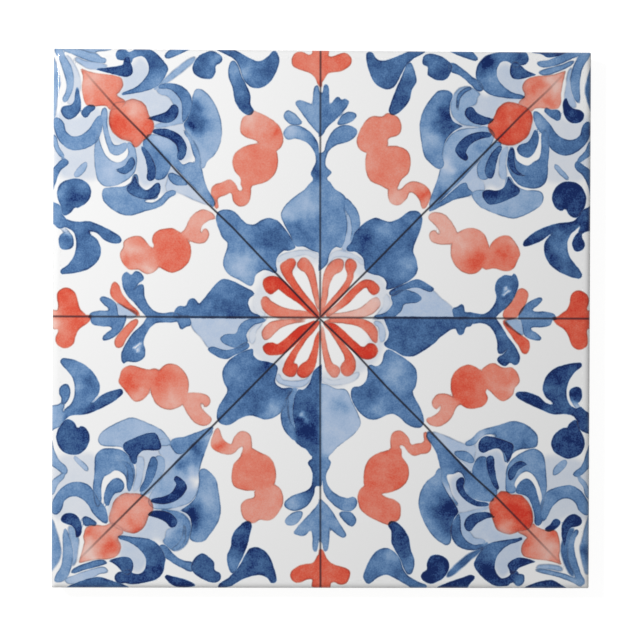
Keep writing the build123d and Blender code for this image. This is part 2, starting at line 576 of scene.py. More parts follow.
# The stencil of the top right and bottom left quarters
STENCIL_B: tuple[Stroke, ...] = (
    # Bluish fields behind the scrolls, the fan and the flower
    shape("scroll field", FIELD, 0.12, (5, 134), (46, 140), (92, 122), (94, 190), (88, 256), (56, 262),
        (14, 252), (3, 200)),
    shape("fan field", FIELD, 0.22, (138, 56), (160, 36), (176, 24), (196, 48), (208, 90), (240, 80),
        (272, 96), (280, 130), (270, 176), (276, 216), (252, 238), (250, 286), (222, 290), (206, 270),
        (180, 274), (168, 236), (162, 196), (124, 186), (116, 142), (130, 110)),
    shape("flower field", FIELD, 0.12, (546, 394), (490, 402), (442, 432), (410, 478), (394, 546),
        (422, 546), (434, 496), (460, 458), (498, 432), (546, 422)),
    # Leaves that spread from the tile's corner
    shape("side edge leaf", WASH, 0.76, (-5, 26), (2, 36), (12, 72), (10, 92), (-1, 120), (-5, 120)),
    shape("side leaf", LEAF, 0.62, (2, 1), (19, 31), (25, 62), (25, 102), (32, 98), (41, 76), (42, 50),
        (32, 20), (17, 1)),
    shape("pale side leaf", WASH, 0.36, (40, 34), (48, 44), (51, 68), (54, 92), (46, 107), (34, 112),
        (33, 103), (41, 82), (44, 56)),
    shape("edge leaf", NAVY, 0.95, (50, -4), (62, 6), (88, 11), (102, 4), (118, 1), (118, -4)),
    shape("upper leaf", LEAF, 0.62, (22, 1), (42, 14), (66, 25), (92, 31), (105, 29), (109, 22), (86, 18),
        (50, 1)),
    shape("pale upper leaf", PETAL, 0.56, (37, 19), (60, 27), (106, 41), (98, 47), (80, 44), (44, 28)),
    # Scroll along the top edge
    shape("scroll arm", LEAF, 0.74, (146, 1), (204, 7), (224, 21), (232, 40), (230, 60), (216, 79),
        (194, 90), (146, 95), (136, 91), (158, 84), (176, 73), (190, 55), (192, 38), (185, 23), (174, 19),
        (162, 24), (156, 32), (144, 26)),
    shape("scroll head", LEAF, 0.89, (132, 3), (146, 1), (160, 10), (156, 25), (131, 23)),
    shape("scroll curl", NAVY, 0.85, tip(114, 47), (134, 38), (152, 22), (161, 26), (164, 42), (159, 53),
        (144, 55)),
    shape("top edge leaf", LEAF, 0.75, (231, 14), (250, -4), (286, -4), (278, 4), (234, 19)),
    shape("upper ball stalk", PETAL, 0.72, (284, 25), (262, 36), (238, 55), (228, 60), (219, 76), (230, 80),
        (242, 68), (264, 49), (286, 39)),
    shape("upper ball", LEAF, 0.81, (282, 34), (290, 21), (308, 11), (326, 7), (338, 13), (339, 26),
        (329, 33), (328, 49), (298, 58)),
    # Fan of petals that opens from the corner dab
    shape("horn", LEAF, 0.69, (242, 74), (258, 77), (270, 90), (272, 112), tip(269, 119), (265, 96),
        (253, 82)),
    shape("horn lining", WASH, 0.46, (226, 86), (246, 73), (266, 76), (279, 92), (284, 114), (278, 132),
        (262, 146), (242, 150), (222, 149), (244, 141), (255, 127), (249, 113), (234, 107), (230, 94)),
    shape("horn crescent", NAVY, 0.92, tip(197, 137), (216, 132), (232, 124), (242, 113), (252, 117),
        (254, 129), (240, 143), (222, 148), (206, 145)),
    shape("side petal", PETAL, 0.63, tip(261, 151), (278, 143), (286, 126), (285, 104), (281, 88), (296, 80),
        (314, 86), (343, 136), (338, 202), (328, 221), (301, 235), (300, 206), (293, 178), (279, 162)),
    shape("blade", LEAF, 0.49, (196, 172), (210, 153), (234, 155), (266, 159), (286, 173), (297, 194),
        (301, 226), (307, 252), (325, 306), (322, 315), (287, 284), (236, 230)),
    shape("outer crescent", NAVY, 0.94, (201, 169), (214, 163), (232, 164), (254, 173), (270, 189),
        (273, 203), (254, 220), (249, 214), (253, 203), (243, 187), (224, 176)),
    shape("under petal", LEAF, 0.57, (182, 186), (194, 184), (228, 228), (228, 250), (220, 258), (208, 254),
        (202, 230)),
    shape("inner crescent", NAVY, 0.83, (181, 192), (191, 194), (207, 216), (214, 242), (208, 254),
        (199, 253), (189, 212)),
    shape("cup shade", WASH, 0.38, (169, 194), (180, 200), (186, 230), (183, 254), (172, 256), (173, 222)),
    shape("short petal", PETAL, 0.68, (248, 276), (254, 265), (270, 274), (302, 302), (326, 319), (304, 312),
        (276, 298), (240, 287)),
    shape("blade underside", WASH, 0.32, (224, 220), (258, 252), (292, 286), (316, 314), (276, 282),
        (252, 266), (248, 282), (234, 294), (218, 290), (217, 264), (228, 254)),
    # Cup and shell below the corner dab
    shape("left scroll", PETAL, 0.74, (0, 148), (8, 141), (18, 152), (23, 169), (38, 178), (56, 176),
        (72, 165), (84, 147), (102, 128), (114, 121), (117, 129), (110, 152), (96, 170), (84, 191),
        (70, 203), (52, 208), (34, 203), (16, 189), (4, 170)),
    shape("cup", LEAF, 0.7, (93, 158), (86, 186), (88, 224), (91, 258), (104, 272), (124, 274), (144, 268),
        (160, 251), (169, 228), (167, 206), (160, 193), (151, 219), (129, 231), (116, 223), (105, 216),
        (100, 194), (100, 168)),
    shape("bowl", PETAL, 0.78, (107, 174), (113, 159), (119, 170), (128, 183), (143, 188), (149, 198),
        (139, 210), (126, 212), (114, 199)),
    shape("cup crescent", NAVY, 0.91, tip(134, 250), (150, 239), (155, 222), (157, 197), (163, 195),
        (168, 216), (164, 234), (152, 247)),
    shape("shell", PETAL, 0.48, (97, 294), (104, 282), (136, 279), (154, 268), (168, 252), (175, 273),
        (186, 281), (230, 280), (240, 287), (232, 303), (218, 315), (170, 333), (150, 334), (106, 312)),
    shape("shell heart", NAVY, 0.92, (144, 280), (158, 266), tip(167, 252), (174, 272), (188, 281),
        (216, 281), (217, 295), (202, 308), (158, 293)),
    shape("corner drop", NAVY, 1, (53, 94), (46, 107), (37, 115), (23, 119), (16, 128), (22, 140), (34, 143),
        (48, 137), (56, 120)),
    shape("corner bean", NAVY, 0.78, (67, 119), (82, 118), (92, 114), (94, 121), (70, 138), (63, 134)),
    shape("side edge slip", LEAF, 0.67, (-1, 180), (12, 200), (28, 221), (14, 216), (-1, 202)),
    shape("side edge blade", LEAF, 0.76, (-5, 246), (12, 232), (29, 222), (32, 233), (17, 248), (5, 270),
        (0, 288), (-5, 288)),
    shape("floating leaf", LEAF, 0.46, (46, 254), (58, 239), (72, 227), (73, 235), (49, 258)),
    shape("side ball", PETAL, 0.96, (11, 296), (24, 269), (50, 262), (68, 271), (78, 292), (72, 311),
        (60, 319), (52, 315), (44, 327), (32, 333), (21, 325)),
    # Leaf groups that hang from the edges
    shape("side leaf root", LEAF, 0.94, (-5, 310), (8, 315), (21, 322), (26, 336), (30, 348), (21, 348),
        (24, 366), (12, 361), (-5, 354)),
    shape("side spear", LEAF, 0.94, (22, 333), (36, 342), (70, 347), (104, 359), (126, 374), (136, 389),
        (124, 389), (100, 379), (80, 365), (50, 362), (30, 348)),
    shape("bell", LEAF, 0.84, (26, 346), (42, 367), (49, 388), (43, 414), (19, 447), (24, 455), (54, 446),
        (78, 431), (92, 408), (92, 384), (78, 367), (66, 352)),
    shape("clapper", PETAL, 0.94, (14, 384), (19, 375), (21, 363), (32, 372), (37, 386), (32, 399),
        (23, 400), (15, 394)),
    shape("wing", LEAF, 0.8, (334, -4), (360, 16), (376, 32), (398, 72), (412, 77), (430, 70), (444, 50),
        (453, 10), (444, 4), (436, 16), (424, 22), (404, 18), (366, 1), (358, -4)),
    shape("top spear", PETAL, 0.84, (368, 25), (377, 42), (407, 119), (400, 129), (384, 120), (368, 100),
        (363, 79), (354, 62), (359, 38)),
    # Coral dabs
    shape("upper corner dab", CORAL, 0.52, tip(54, 40), (80, 48), (112, 51), (130, 57), (139, 72), (134, 89),
        (146, 106), (126, 121), (112, 113), (70, 114), (63, 102), (63, 84)),
    shape("corner ball", DAB, 0.85, (123, 122), (164, 103), (186, 113), (196, 134), (208, 152), (184, 183),
        (160, 188), (140, 179), (126, 163)),
    shape("upper pair, small", CORAL, 0.58, (389, 137), (410, 127), (421, 134), (442, 134), (457, 147),
        (471, 180), (465, 198), (450, 205), (426, 204), (411, 190), (410, 177), (392, 170), (384, 160)),
    shape("upper pair, large", CORAL, 0.59, (368, 207), (388, 194), (410, 193), (438, 194), (451, 208),
        (453, 236), (444, 260), (422, 271), (404, 279), (391, 274), (384, 260), (368, 242)),
    shape("upper pair, hook", CORAL, 0.5, (392, 266), (389, 281), (366, 265), (348, 265), (330, 276),
        (324, 290), (332, 312), (339, 316), (346, 297), (364, 283), (372, 296), (386, 309), (402, 306),
        (408, 290), (405, 272)),
    shape("lower pair, small", CORAL, 0.64, (144, 404), (164, 373), (182, 373), (197, 383), (206, 400),
        (218, 420), (214, 437), (196, 435), (170, 441), (156, 435), (150, 422)),
    shape("lower pair, large", CORAL, 0.54, (214, 372), (232, 358), (252, 358), (272, 370), (281, 394),
        (278, 420), (262, 440), (242, 447), (226, 441), (206, 410)),
    shape("lower pair, hook", CORAL, 0.38, (268, 374), (290, 334), (314, 325), (327, 334), (316, 347),
        (304, 362), (307, 369), (316, 361), (325, 370), (316, 385), (278, 386)),
    shape("top bud", CORAL, 0.71, (484, 22), (490, 10), (500, 7), (529, 14), (531, -4), (560, -4), (560, 62),
        (544, 64), (530, 46), (506, 42), (490, 33)),
    shape("side bud", CORAL, 0.84, (4, 502), (9, 489), (24, 481), (38, 488), (41, 504), (47, 519), (66, 534),
        (68, 550), (-5, 550), (-5, 524), (8, 519)),
    shape("side leaf drop", CORAL, 0.62, (127, 492), (133, 479), (145, 479), (154, 496), (176, 532),
        (150, 534)),
    # Buds on the middle lines
    shape("top bud leaf", LEAF, 0.74, (489, 106), (495, 99), (503, 101), (511, 95), (521, 106), (527, 111),
        (529, 92), (534, 70), (542, 88), (560, 94), (560, 170), (544, 172), (532, 154), (512, 136)),
    shape("top bud oval", LEAF, 0.62, (474, 132), (482, 125), (498, 129), (510, 147), (502, 149), (484, 143)),
    shape("top bud arch", PETAL, 0.63, (472, 165), (482, 154), (502, 152), (520, 164), (532, 186),
        (539, 206), (560, 210), (560, 270), (529, 268), (533, 257), (524, 246), (532, 237), (536, 228),
        (530, 204), (514, 190), (488, 182)),
    shape("side bud leaf", LEAF, 0.84, (147, 464), (154, 448), (159, 452), (174, 451), (189, 463),
        (192, 478), (189, 496), (198, 516), (216, 529), (254, 527), (254, 550), (206, 550), (186, 527),
        (164, 508), (150, 482)),
    shape("side bud slip", PETAL, 0.68, (99, 497), (112, 498), (130, 509), (143, 526), (142, 550), (74, 550),
        (73, 530), (94, 524), (118, 521), (107, 509)),
    # Flower in the middle
    shape("middle petal", PETAL, 0.62, (530, 263), (516, 280), (504, 287), (494, 299), (497, 318),
        (491, 344), (493, 370), (502, 395), (514, 394), (526, 408), (534, 432), (560, 442), (560, 260)),
    shape("middle petal flap", PETAL, 0.58, (474, 372), (466, 354), (468, 330), (480, 310), (496, 299),
        (495, 318), (485, 336), (481, 360), (482, 384)),
    shape("middle petal fold", WASH, 0.38, (496, 318), (483, 340), (480, 370), (484, 392), (494, 402),
        (501, 393), (491, 366), (492, 338)),
    shape("slanting petal", LEAF, 0.78, (342, 332), (352, 323), (366, 324), (386, 338), (406, 345),
        (438, 338), (474, 365), (481, 384), (491, 400), (472, 404), (457, 418), (452, 442), (419, 454),
        (410, 466), (410, 479), (366, 461), (351, 444), (352, 422), (359, 400), (343, 354)),
    shape("cross petal brim", PETAL, 0.76, (318, 482), (334, 466), (352, 460), (370, 467), (394, 477),
        (405, 486), (398, 492), (374, 480), (350, 475)),
    shape("cross petal", WASH, 0.31, (276, 532), (282, 513), (300, 499), (318, 482), (346, 473), (376, 479),
        (400, 492), (398, 506), (410, 524), (434, 534), (434, 550), (276, 550)),
    shape("cross petal knob", LEAF, 0.74, (254, 524), (259, 510), (268, 515), (278, 519), (275, 534),
        (275, 550), (246, 550), (246, 530)),
    shape("cross petal shade", NAVY, 0.7, (341, 496), (362, 483), (384, 482), (401, 493), (398, 508),
        (412, 526), (434, 536), (400, 536), (382, 522), (376, 509), (350, 505)),
    shape("first loop", CORAL, 0.7, (472, 434), (477, 422), (488, 420), (494, 432), (489, 454), (504, 480),
        (528, 508), (544, 534), (522, 515), (494, 485), (480, 460), (478, 447)),
    shape("second loop", DAB, 0.57, (499, 423), (512, 420), (528, 432), (537, 454), (540, 492), (543, 526),
        (532, 504), (527, 472), (516, 450), (502, 442)),
    shape("third loop", DAB, 0.79, (426, 480), (432, 468), (448, 461), (466, 467), (512, 512), (532, 532),
        (510, 522), (488, 507), (466, 484), (452, 475), (446, 483), (436, 490)),
    shape("fourth loop", CORAL, 0.33, (424, 506), (433, 496), (464, 518), (492, 526), (530, 535), (470, 537),
        (442, 529), (428, 517)),
    shape("upper ring shade", WASH, 0.16, (458, 430), (466, 416), (502, 402), (520, 407), (532, 430),
        (514, 415), (474, 419)),
    shape("side ring shade", WASH, 0.16, (410, 490), (416, 496), (418, 514), (428, 532), (414, 524),
        (404, 508)),
)

# How the second stencil drifted on the bottom left quarter
BOTTOM_LEFT_DRIFTS: tuple[DriftRow, ...] = (
    # Corner, scroll and corner dab
    (25, 102, 2, 16), (54, 92, -1, 8), (16, 128, 5, 9), (56, 120, 4, 8), (62, 127, 0, 7), (70, 139, 0, 5),
    (92, 114, -5, 12), (106, 26, 4, 12), (106, 41, 4, 9), (74, 11, 10, 9), (180, 1, 0, 10), (146, 1, 0, 11),
    (232, 40, -7, 6), (216, 79, -3, 8), (170, 95, -2, 8), (192, 38, -1, 11), (127, 16, 0, 6),
    (164, 42, -1, 5), (234, 19, -3, 7), (242, 68, 0, 2), (54, 40, 3, 12), (63, 84, 5, 8), (139, 72, 0, 11),
    (63, 102, 4, 6), (121, 142, -3, 6), (208, 152, -6, 8), (160, 188, -6, 1),
    # Fan, cup and shell
    (197, 137, -3, 10), (242, 114, -3, 10), (254, 129, -3, 7), (222, 148, -2, 7), (201, 169, -1, 8),
    (199, 253, 0, 8), (228, 228, -4, 6), (296, 80, -4, 14), (330, 108, -8, 10), (344, 166, -7, 2),
    (338, 202, -7, 4), (301, 235, -2, 3), (8, 141, 1, 7), (38, 178, 4, 7), (52, 208, 0, 4), (84, 191, -2, 6),
    (29, 222, -1, 7), (72, 227, -1, 8), (46, 254, -1, 6), (113, 159, -1, 7), (126, 212, 0, 7),
    (149, 198, -4, 8), (169, 228, -3, 4), (97, 294, -3, 4), (150, 334, 4, 6), (232, 303, -4, 4),
    # Balls and hanging leaves
    (282, 34, -2, 10), (339, 26, -2, 3), (298, 58, 0, 10), (328, 49, -5, 5), (444, 4, -2, 8),
    (412, 77, -3, 5), (424, 22, -4, 6), (382, 9, 1, 11), (368, 25, -4, 7), (407, 119, -8, 3),
    (354, 62, -1, 4), (79, 292, -3, 6), (70, 347, 2, 3), (136, 389, 5, 7), (100, 379, 2, 8), (92, 408, 1, 4),
    (49, 388, -2, 5), (24, 455, -1, 4), (54, 447, 0, 6), (23, 401, 2, 7),
    # Coral pairs
    (383, 150, -4, 8), (410, 127, -6, 5), (471, 180, -9, -1), (450, 205, -6, 3), (364, 226, -4, 2),
    (453, 236, -6, 0), (324, 290, -5, 0), (339, 316, -6, 4), (408, 290, -9, 3), (348, 265, -4, 6),
    (144, 404, -8, 5), (182, 373, -6, 3), (170, 441, -12, 4), (214, 437, -4, 1), (281, 394, -9, 4),
    (242, 447, -6, 2), (325, 370, -9, 4), (304, 362, -7, 2),
    # Buds
    (500, 7, -6, 6), (506, 43, -4, 5), (534, 70, -6, 5), (512, 136, -8, 2), (474, 132, -6, 3),
    (472, 165, -5, 4), (502, 152, -8, 6), (514, 190, -6, 4), (536, 228, -13, 0), (524, 246, -10, 7),
    (24, 481, 2, 0), (127, 492, -4, -2), (176, 532, -2, 2), (174, 451, -6, 3), (192, 478, -7, -2),
    (216, 529, -8, 3), (99, 497, 3, 2), (259, 510, -1, 10),
    # Flower in the middle
    (342, 332, -10, 6), (438, 338, -6, 2), (457, 418, -12, -4), (452, 442, -2, 3), (426, 452, -4, 4),
    (410, 479, -11, 0), (351, 444, -8, -5), (359, 400, -7, -4), (466, 354, -7, -2), (480, 310, -8, 0),
    (516, 280, -6, 0), (514, 394, -10, 4), (534, 432, -10, 4), (318, 482, -4, 0), (352, 460, -4, 1),
    (528, 432, -7, 4), (540, 534, -6, 4),
)

# Shapes that were drawn anew on the bottom left quarter
BOTTOM_LEFT_REDRAWN: tuple[Stroke, ...] = (
    shape("top bud leaf", LEAF, 0.61, (486, 113), (494, 108), (506, 107), (520, 117), (524, 81), (529, 75),
        (533, 86), (536, 100), (560, 100), (560, 173), (538, 173), (528, 161)),
    shape("side leaf drop", CORAL, 0.62, (126, 493), (128, 485), (134, 482), (141, 486), (148, 500),
        (171, 532), (168, 538), (154, 530), (130, 503)),
    shape("first loop", CORAL, 0.82, (462, 439), (470, 427), (484, 427), (491, 440), (489, 449), (482, 452),
        (506, 497), (526, 520), (532, 536), (519, 523), (482, 478)),
    shape("second loop", DAB, 0.85, (490, 433), (503, 423), (518, 432), (527, 452), (534, 514), (527, 502),
        (521, 479), (511, 457), (498, 448)),
    shape("third loop", DAB, 0.96, (422, 482), (434, 469), (468, 475), (516, 521), (528, 534), (510, 530),
        (492, 522), (452, 489), (440, 492), (429, 490)),
    shape("fourth loop", CORAL, 0.5, (420, 510), (428, 499), (454, 521), (476, 531), (504, 537), (446, 536),
        (428, 526)),
    shape("blade", LEAF, 0.42, (194, 176), (212, 159), (270, 169), (288, 186), (295, 214), (296, 242),
        (315, 300), (320, 317), (282, 289), (232, 234)),
    shape("short petal", PETAL, 0.65, (239, 295), (246, 274), (260, 270), (284, 289), (322, 320), (294, 313),
        (266, 303)),
    shape("shell heart", NAVY, 0.9, (143, 285), (154, 267), (166, 249), (172, 267), (184, 277), (216, 279),
        (216, 294), (204, 311), (158, 297)),
    shape("edge leaf", NAVY, 0.84, (30, -4), (50, 10), (92, 22), (116, 16), (152, 3), (152, -5)),
    shape("side edge leaf", WASH, 0.6, (-5, 32), (8, 44), (18, 62), (19, 80), (4, 132), (-5, 140)),
)

# How the first stencil drifted on the bottom right quarter
BOTTOM_RIGHT_DRIFTS: tuple[DriftRow, ...] = (
    # Corner, scroll and corner dab
    (21, 102, 4, 11), (55, 120, 0, 7), (84, 119, 6, 1), (66, 138, 4, 2), (193, 2, -1, 6), (193, 44, 0, 6),
    (206, 76, 3, 12), (126, 13, 6, 6), (229, 20, 3, 5), (240, 54, 4, 11), (139, 72, -2, 9), (80, 51, 0, 7),
    (113, 144, 3, 2), (201, 151, 0, 11), (165, 197, 5, -4),
    # Fan, cup and shell
    (228, 70, 2, 8), (277, 104, 2, 6), (189, 139, 4, 5), (240, 113, 1, 4), (226, 149, 2, 4),
    (200, 165, 3, 4), (174, 195, 7, 4), (190, 262, 6, 3), (207, 246, 2, 4), (296, 82, -2, 9),
    (280, 94, 0, 4), (336, 152, 6, 7), (306, 275, 4, 1), (320, 316, 6, 1), (10, 140, -2, 9), (39, 177, 6, 6),
    (46, 204, 1, 4), (93, 135, 0, 2), (23, 220, 1, 4), (66, 228, 6, 1), (45, 255, 4, -1), (104, 120, 0, 9),
    (149, 194, 1, 6), (129, 229, 0, 8), (168, 220, 2, 0), (124, 274, -1, 5), (101, 284, 7, 5),
    (146, 333, 4, 3),
    # Balls and hanging leaves
    (280, 36, 4, 8), (313, 5, 2, 7), (337, 20, 1, 4), (297, 58, 5, 9), (441, 4, 3, 8), (451, 22, 3, 4),
    (408, 77, 3, 4), (416, 24, 0, 4), (364, 3, 0, 3), (359, 24, 4, 6), (352, 56, 2, 2), (392, 88, 5, 2),
    (365, 104, 1, 0), (10, 292, 2, 4), (76, 288, 1, 4), (22, 333, 6, 5), (52, 263, 1, 4), (137, 385, 13, 7),
    (104, 382, 2, 5), (96, 406, -1, -2), (88, 427, -1, 1), (21, 452, 0, 3), (49, 388, 1, 2), (13, 386, 4, 4),
    (42, 384, -1, 4),
    # Coral pairs
    (375, 154, 6, 2), (402, 124, 5, 5), (438, 204, 8, 3), (360, 226, 6, 3), (449, 222, 5, 4),
    (330, 318, 4, -7), (353, 263, 1, 6), (374, 315, 8, 2), (176, 377, 4, 2), (200, 382, 8, 2),
    (277, 404, 4, 4), (234, 446, 6, 2), (324, 337, 5, 2), (312, 372, 6, 1), (298, 354, 5, 2),
    # Buds
    (478, 20, 6, 5), (496, 5, 4, 4), (494, 39, 2, 3), (535, 74, 5, 4), (486, 106, 5, 0), (520, 112, 4, 11),
    (500, 130, 5, 3), (462, 132, 9, 5), (497, 145, 7, 5), (494, 154, 4, 4), (523, 203, 5, 4),
    (11, 504, -5, 0), (51, 506, -7, 2), (126, 468, 6, 5), (174, 533, 2, 4), (140, 462, 3, 2),
    (182, 459, 5, 2), (148, 490, 6, -2), (74, 532, 5, 0),
    # Flower in the middle
    (458, 334, 5, 2), (480, 299, 6, 3), (486, 392, 6, 6), (456, 435, 17, 8), (480, 419, 12, 8),
    (483, 458, 15, 4), (503, 417, 12, 7), (525, 450, 9, 4), (525, 497, 10, 5), (422, 465, 7, 7),
    (448, 456, 2, 6), (452, 479, 10, 3), (418, 506, 11, 2), (458, 516, 8, 2), (534, 534, 5, 3),
)

# Shapes that were drawn anew on the bottom right quarter
BOTTOM_RIGHT_REDRAWN: tuple[Stroke, ...] = (
    shape("top edge leaf", LEAF, 1, (233, 25), (257, 21), (304, 3), (304, -5), (252, -4), (243, 10)),
    shape("edge leaf", NAVY, 0.92, (46, -4), (60, 9), (80, 17), (122, 6), (130, -4)),
    shape("bowl", PETAL, 0.76, (97, 136), (103, 128), (110, 132), (111, 150), (122, 181), (134, 190),
        (148, 194), (144, 209), (132, 220), (121, 218), (109, 198)),
    shape("first loop", CORAL, 0.71, (473, 446), (480, 431), (492, 427), (502, 438), (499, 451), (493, 457),
        (498, 474), (524, 516), (536, 534), (522, 522), (478, 466)),
    shape("third loop", DAB, 0.92, (429, 476), (436, 465), (450, 461), (466, 467), (528, 530), (514, 530),
        (464, 486), (455, 484), (446, 491), (434, 488)),
    shape("fourth loop", CORAL, 0.66, (429, 506), (433, 494), (452, 516), (468, 527), (496, 533), (530, 537),
        (476, 543), (446, 535), (432, 522)),
    shape("upper leaf", LEAF, 0.5, (16, 7), (34, 14), (60, 24), (108, 37), (96, 40), (36, 24)),
    shape("pale upper leaf", WASH, 0.4, (56, 37), (80, 40), (106, 41), (102, 47), (76, 48), (58, 43)),
    shape("outer crescent", NAVY, 0.95, (204, 170), (216, 166), (234, 169), (252, 180), (265, 196),
        (269, 210), (264, 221), (256, 223), (253, 216), (255, 204), (246, 188), (228, 176)),
    shape("shell heart", NAVY, 0.94, (155, 280), tip(166, 253), (172, 272), (186, 283), (204, 279),
        (216, 274), (224, 282), (221, 298), (208, 306), (158, 292)),
    shape("scroll curl", NAVY, 0.93, tip(111, 55), (142, 43), (157, 30), (161, 39), (164, 50), (142, 62)),
    shape("slanting petal", LEAF, 0.7, (344, 324), (368, 331), (386, 347), (402, 352), (434, 340),
        (454, 346), (471, 364), (480, 384), (478, 402), (463, 405), (451, 416), (447, 430), (446, 447),
        (430, 445), (420, 452), (410, 478), (395, 474), (356, 446), (350, 426), (353, 406), (359, 394),
        (343, 362), (336, 336)),
    shape("cross petal", PETAL, 0.8, (240, 530), (252, 526), (257, 513), (265, 511), (273, 524), (303, 506),
        (316, 493), (354, 469), (374, 468), (396, 479), (415, 490), (408, 500), (405, 514), (413, 536),
        (415, 550), (240, 550)),
)

# Places where the colour pooled or ran thin, quarter by quarter
TOP_LEFT_POOLS: dict[str, tuple[PoolRow, ...]] = {
    "side edge leaf": ((8, 68, 16, 0.15),),
    "scroll arm": ((195, 28, 22, 0.18), (205, 66, 24, -0.14)),
    "upper ball": ((324, 18, 13, -0.22),),
    "side petal": ((292, 150, 20, 0.36), (276, 148, 13, 0.3), (280, 120, 17, 0.4)),
    "blade": ((220, 188, 22, -0.2), (244, 240, 20, 0.12), (315, 300, 16, 0.14)),
    "cup": ((114, 244, 22, -0.12),),
    "corner drop": ((32, 128, 14, -0.12),),
    "side ball": ((47, 300, 20, 0.15), (20, 286, 18, -0.16)),
    "top bud oval": ((480, 129, 10, -0.15),),
    "top bud arch": ((480, 162, 18, -0.32), (534, 174, 16, 0.2), (530, 250, 22, 0.2)),
    "wing": ((380, 45, 18, -0.28), (436, 30, 18, 0.1)),
    "top spear": ((363, 46, 20, -0.25), (386, 114, 22, 0.14)),
    "upper corner dab": ((72, 65, 20, -0.2),),
    "corner ball": ((130, 156, 24, 0.22), (190, 156, 13, 0.15), (160, 118, 22, -0.25)),
    "upper pair, small": ((395, 138, 18, -0.2), (446, 163, 11, 0.22)),
    "lower pair, small": ((152, 402, 18, -0.25), (146, 426, 13, 0.2), (188, 444, 16, -0.25)),
    "slanting petal": ((374, 432, 30, -0.28), (446, 384, 32, 0.18)),
    "middle petal": ((505, 310, 30, -0.2), (502, 366, 26, 0.18), (466, 330, 15, -0.2)),
    "cross petal": ((360, 525, 30, 0.1),),
    "second loop": ((533, 514, 16, -0.3),),
    "third loop": ((485, 498, 18, 0.05),),
    "side bud": ((-4, 532, 24, -0.4),),
}
TOP_RIGHT_POOLS: dict[str, tuple[PoolRow, ...]] = {
    "scroll arm": ((216, 14, 18, 0.32), (196, 68, 22, -0.18)),
    "left scroll": ((12, 160, 20, 0.12), (105, 140, 22, -0.2)),
    "upper ball": ((320, 20, 18, -0.1), (300, 50, 18, 0.1)),
    "side petal": ((294, 142, 26, 0.34), (332, 174, 25, -0.18), (286, 96, 20, 0.2)),
    "blade": ((302, 286, 19, 0.24), (266, 246, 20, 0.2), (222, 200, 15, 0.15), (293, 234, 18, -0.26),
        (244, 159, 16, -0.16)),
    "bell": ((88, 400, 16, 0.1), (58, 390, 20, -0.18)),
    "top spear": ((364, 40, 20, -0.2),),
    "upper corner dab": ((110, 65, 18, 0.22), (75, 65, 20, -0.25), (80, 100, 12, 0.2)),
    "corner ball": ((160, 115, 20, -0.12), (165, 140, 10, -0.2)),
    "third loop": ((520, 522, 18, -0.35),),
    "side bud leaf": ((171, 482, 4, -0.8), (177, 473, 4, -0.8)),
    "upper pair, hook": ((333, 290, 16, 0.25), (395, 295, 18, -0.12)),
    "lower pair, small": ((176, 408, 19, 0.22), (156, 388, 16, -0.22)),
    "lower pair, large": ((266, 386, 22, -0.2), (230, 424, 28, 0.28)),
    "slanting petal": ((415, 365, 20, -0.2), (368, 428, 25, -0.24), (460, 380, 24, 0.12),
        (358, 346, 16, -0.14)),
}
BOTTOM_LEFT_POOLS: dict[str, tuple[PoolRow, ...]] = {
    "scroll arm": ((204, 34, 30, 0.12), (170, 96, 34, -0.2)),
    "side petal": ((282, 146, 22, 0.42), (316, 174, 24, -0.1)),
    "bell": ((80, 408, 20, 0.14), (50, 406, 16, -0.14)),
    "blade": ((293, 276, 24, 0.42), (262, 244, 18, 0.26), (288, 218, 16, -0.4), (224, 196, 16, 0.12),
        (194, 172, 13, -0.3)),
    "horn lining": ((236, 114, 16, -0.25),),
    "top bud oval": ((496, 108, 14, -0.3),),
    "top bud arch": ((484, 170, 20, -0.3), (534, 220, 30, 0.15)),
    "top spear": ((363, 50, 19, -0.24),),
    "upper corner dab": ((115, 83, 18, 0.3), (75, 110, 11, 0.2), (78, 70, 22, -0.25)),
    "corner ball": ((165, 122, 14, 0.25),),
    "side bud leaf": ((171, 482, 4, -0.8), (177, 473, 4, -0.8)),
    "upper pair, hook": ((335, 285, 15, 0.3),),
    "lower pair, small": ((155, 410, 17, 0.22), (174, 382, 14, -0.2)),
    "lower pair, large": ((215, 420, 26, 0.22), (240, 375, 22, -0.14)),
    "slanting petal": ((415, 380, 26, 0.14), (360, 430, 22, -0.14), (440, 360, 20, -0.28),
        (424, 454, 18, 0.22)),
    "middle petal": ((505, 343, 6, -0.5), (488, 330, 18, 0.16), (534, 310, 34, 0.12)),
    "side bud": ((-4, 532, 24, -0.5),),
}
BOTTOM_RIGHT_POOLS: dict[str, tuple[PoolRow, ...]] = {
    "scroll arm": ((200, 36, 26, 0.14), (190, 80, 26, -0.16)),
    "side edge leaf": ((4, 70, 18, 0.35),),
    "side petal": ((282, 152, 32, 0.45), (318, 164, 24, 0.1)),
    "blade": ((282, 195, 20, -0.5), (260, 244, 24, 0.2), (304, 274, 24, 0.1)),
    "top spear": ((364, 44, 22, -0.34),),
    "shell": ((222, 306, 16, -0.3), (140, 276, 18, 0.14)),
    "upper corner dab": ((86, 78, 22, -0.22), (72, 107, 12, 0.2), (126, 88, 14, 0.2)),
    "bell": ((60, 395, 22, -0.12),),
    "wing": ((396, 60, 16, -0.16),),
    "corner ball": ((140, 155, 26, 0.2), (172, 120, 22, -0.34)),
    "lower pair, small": ((155, 400, 16, -0.2), (170, 420, 16, 0.1)),
    "lower pair, large": ((254, 390, 24, 0.12),),
    "slanting petal": ((398, 432, 26, -0.24), (425, 365, 16, -0.14), (445, 395, 26, 0.12)),
    "middle petal": ((502, 368, 18, 0.2),),
    "second loop": ((536, 522, 16, -0.3),),
}

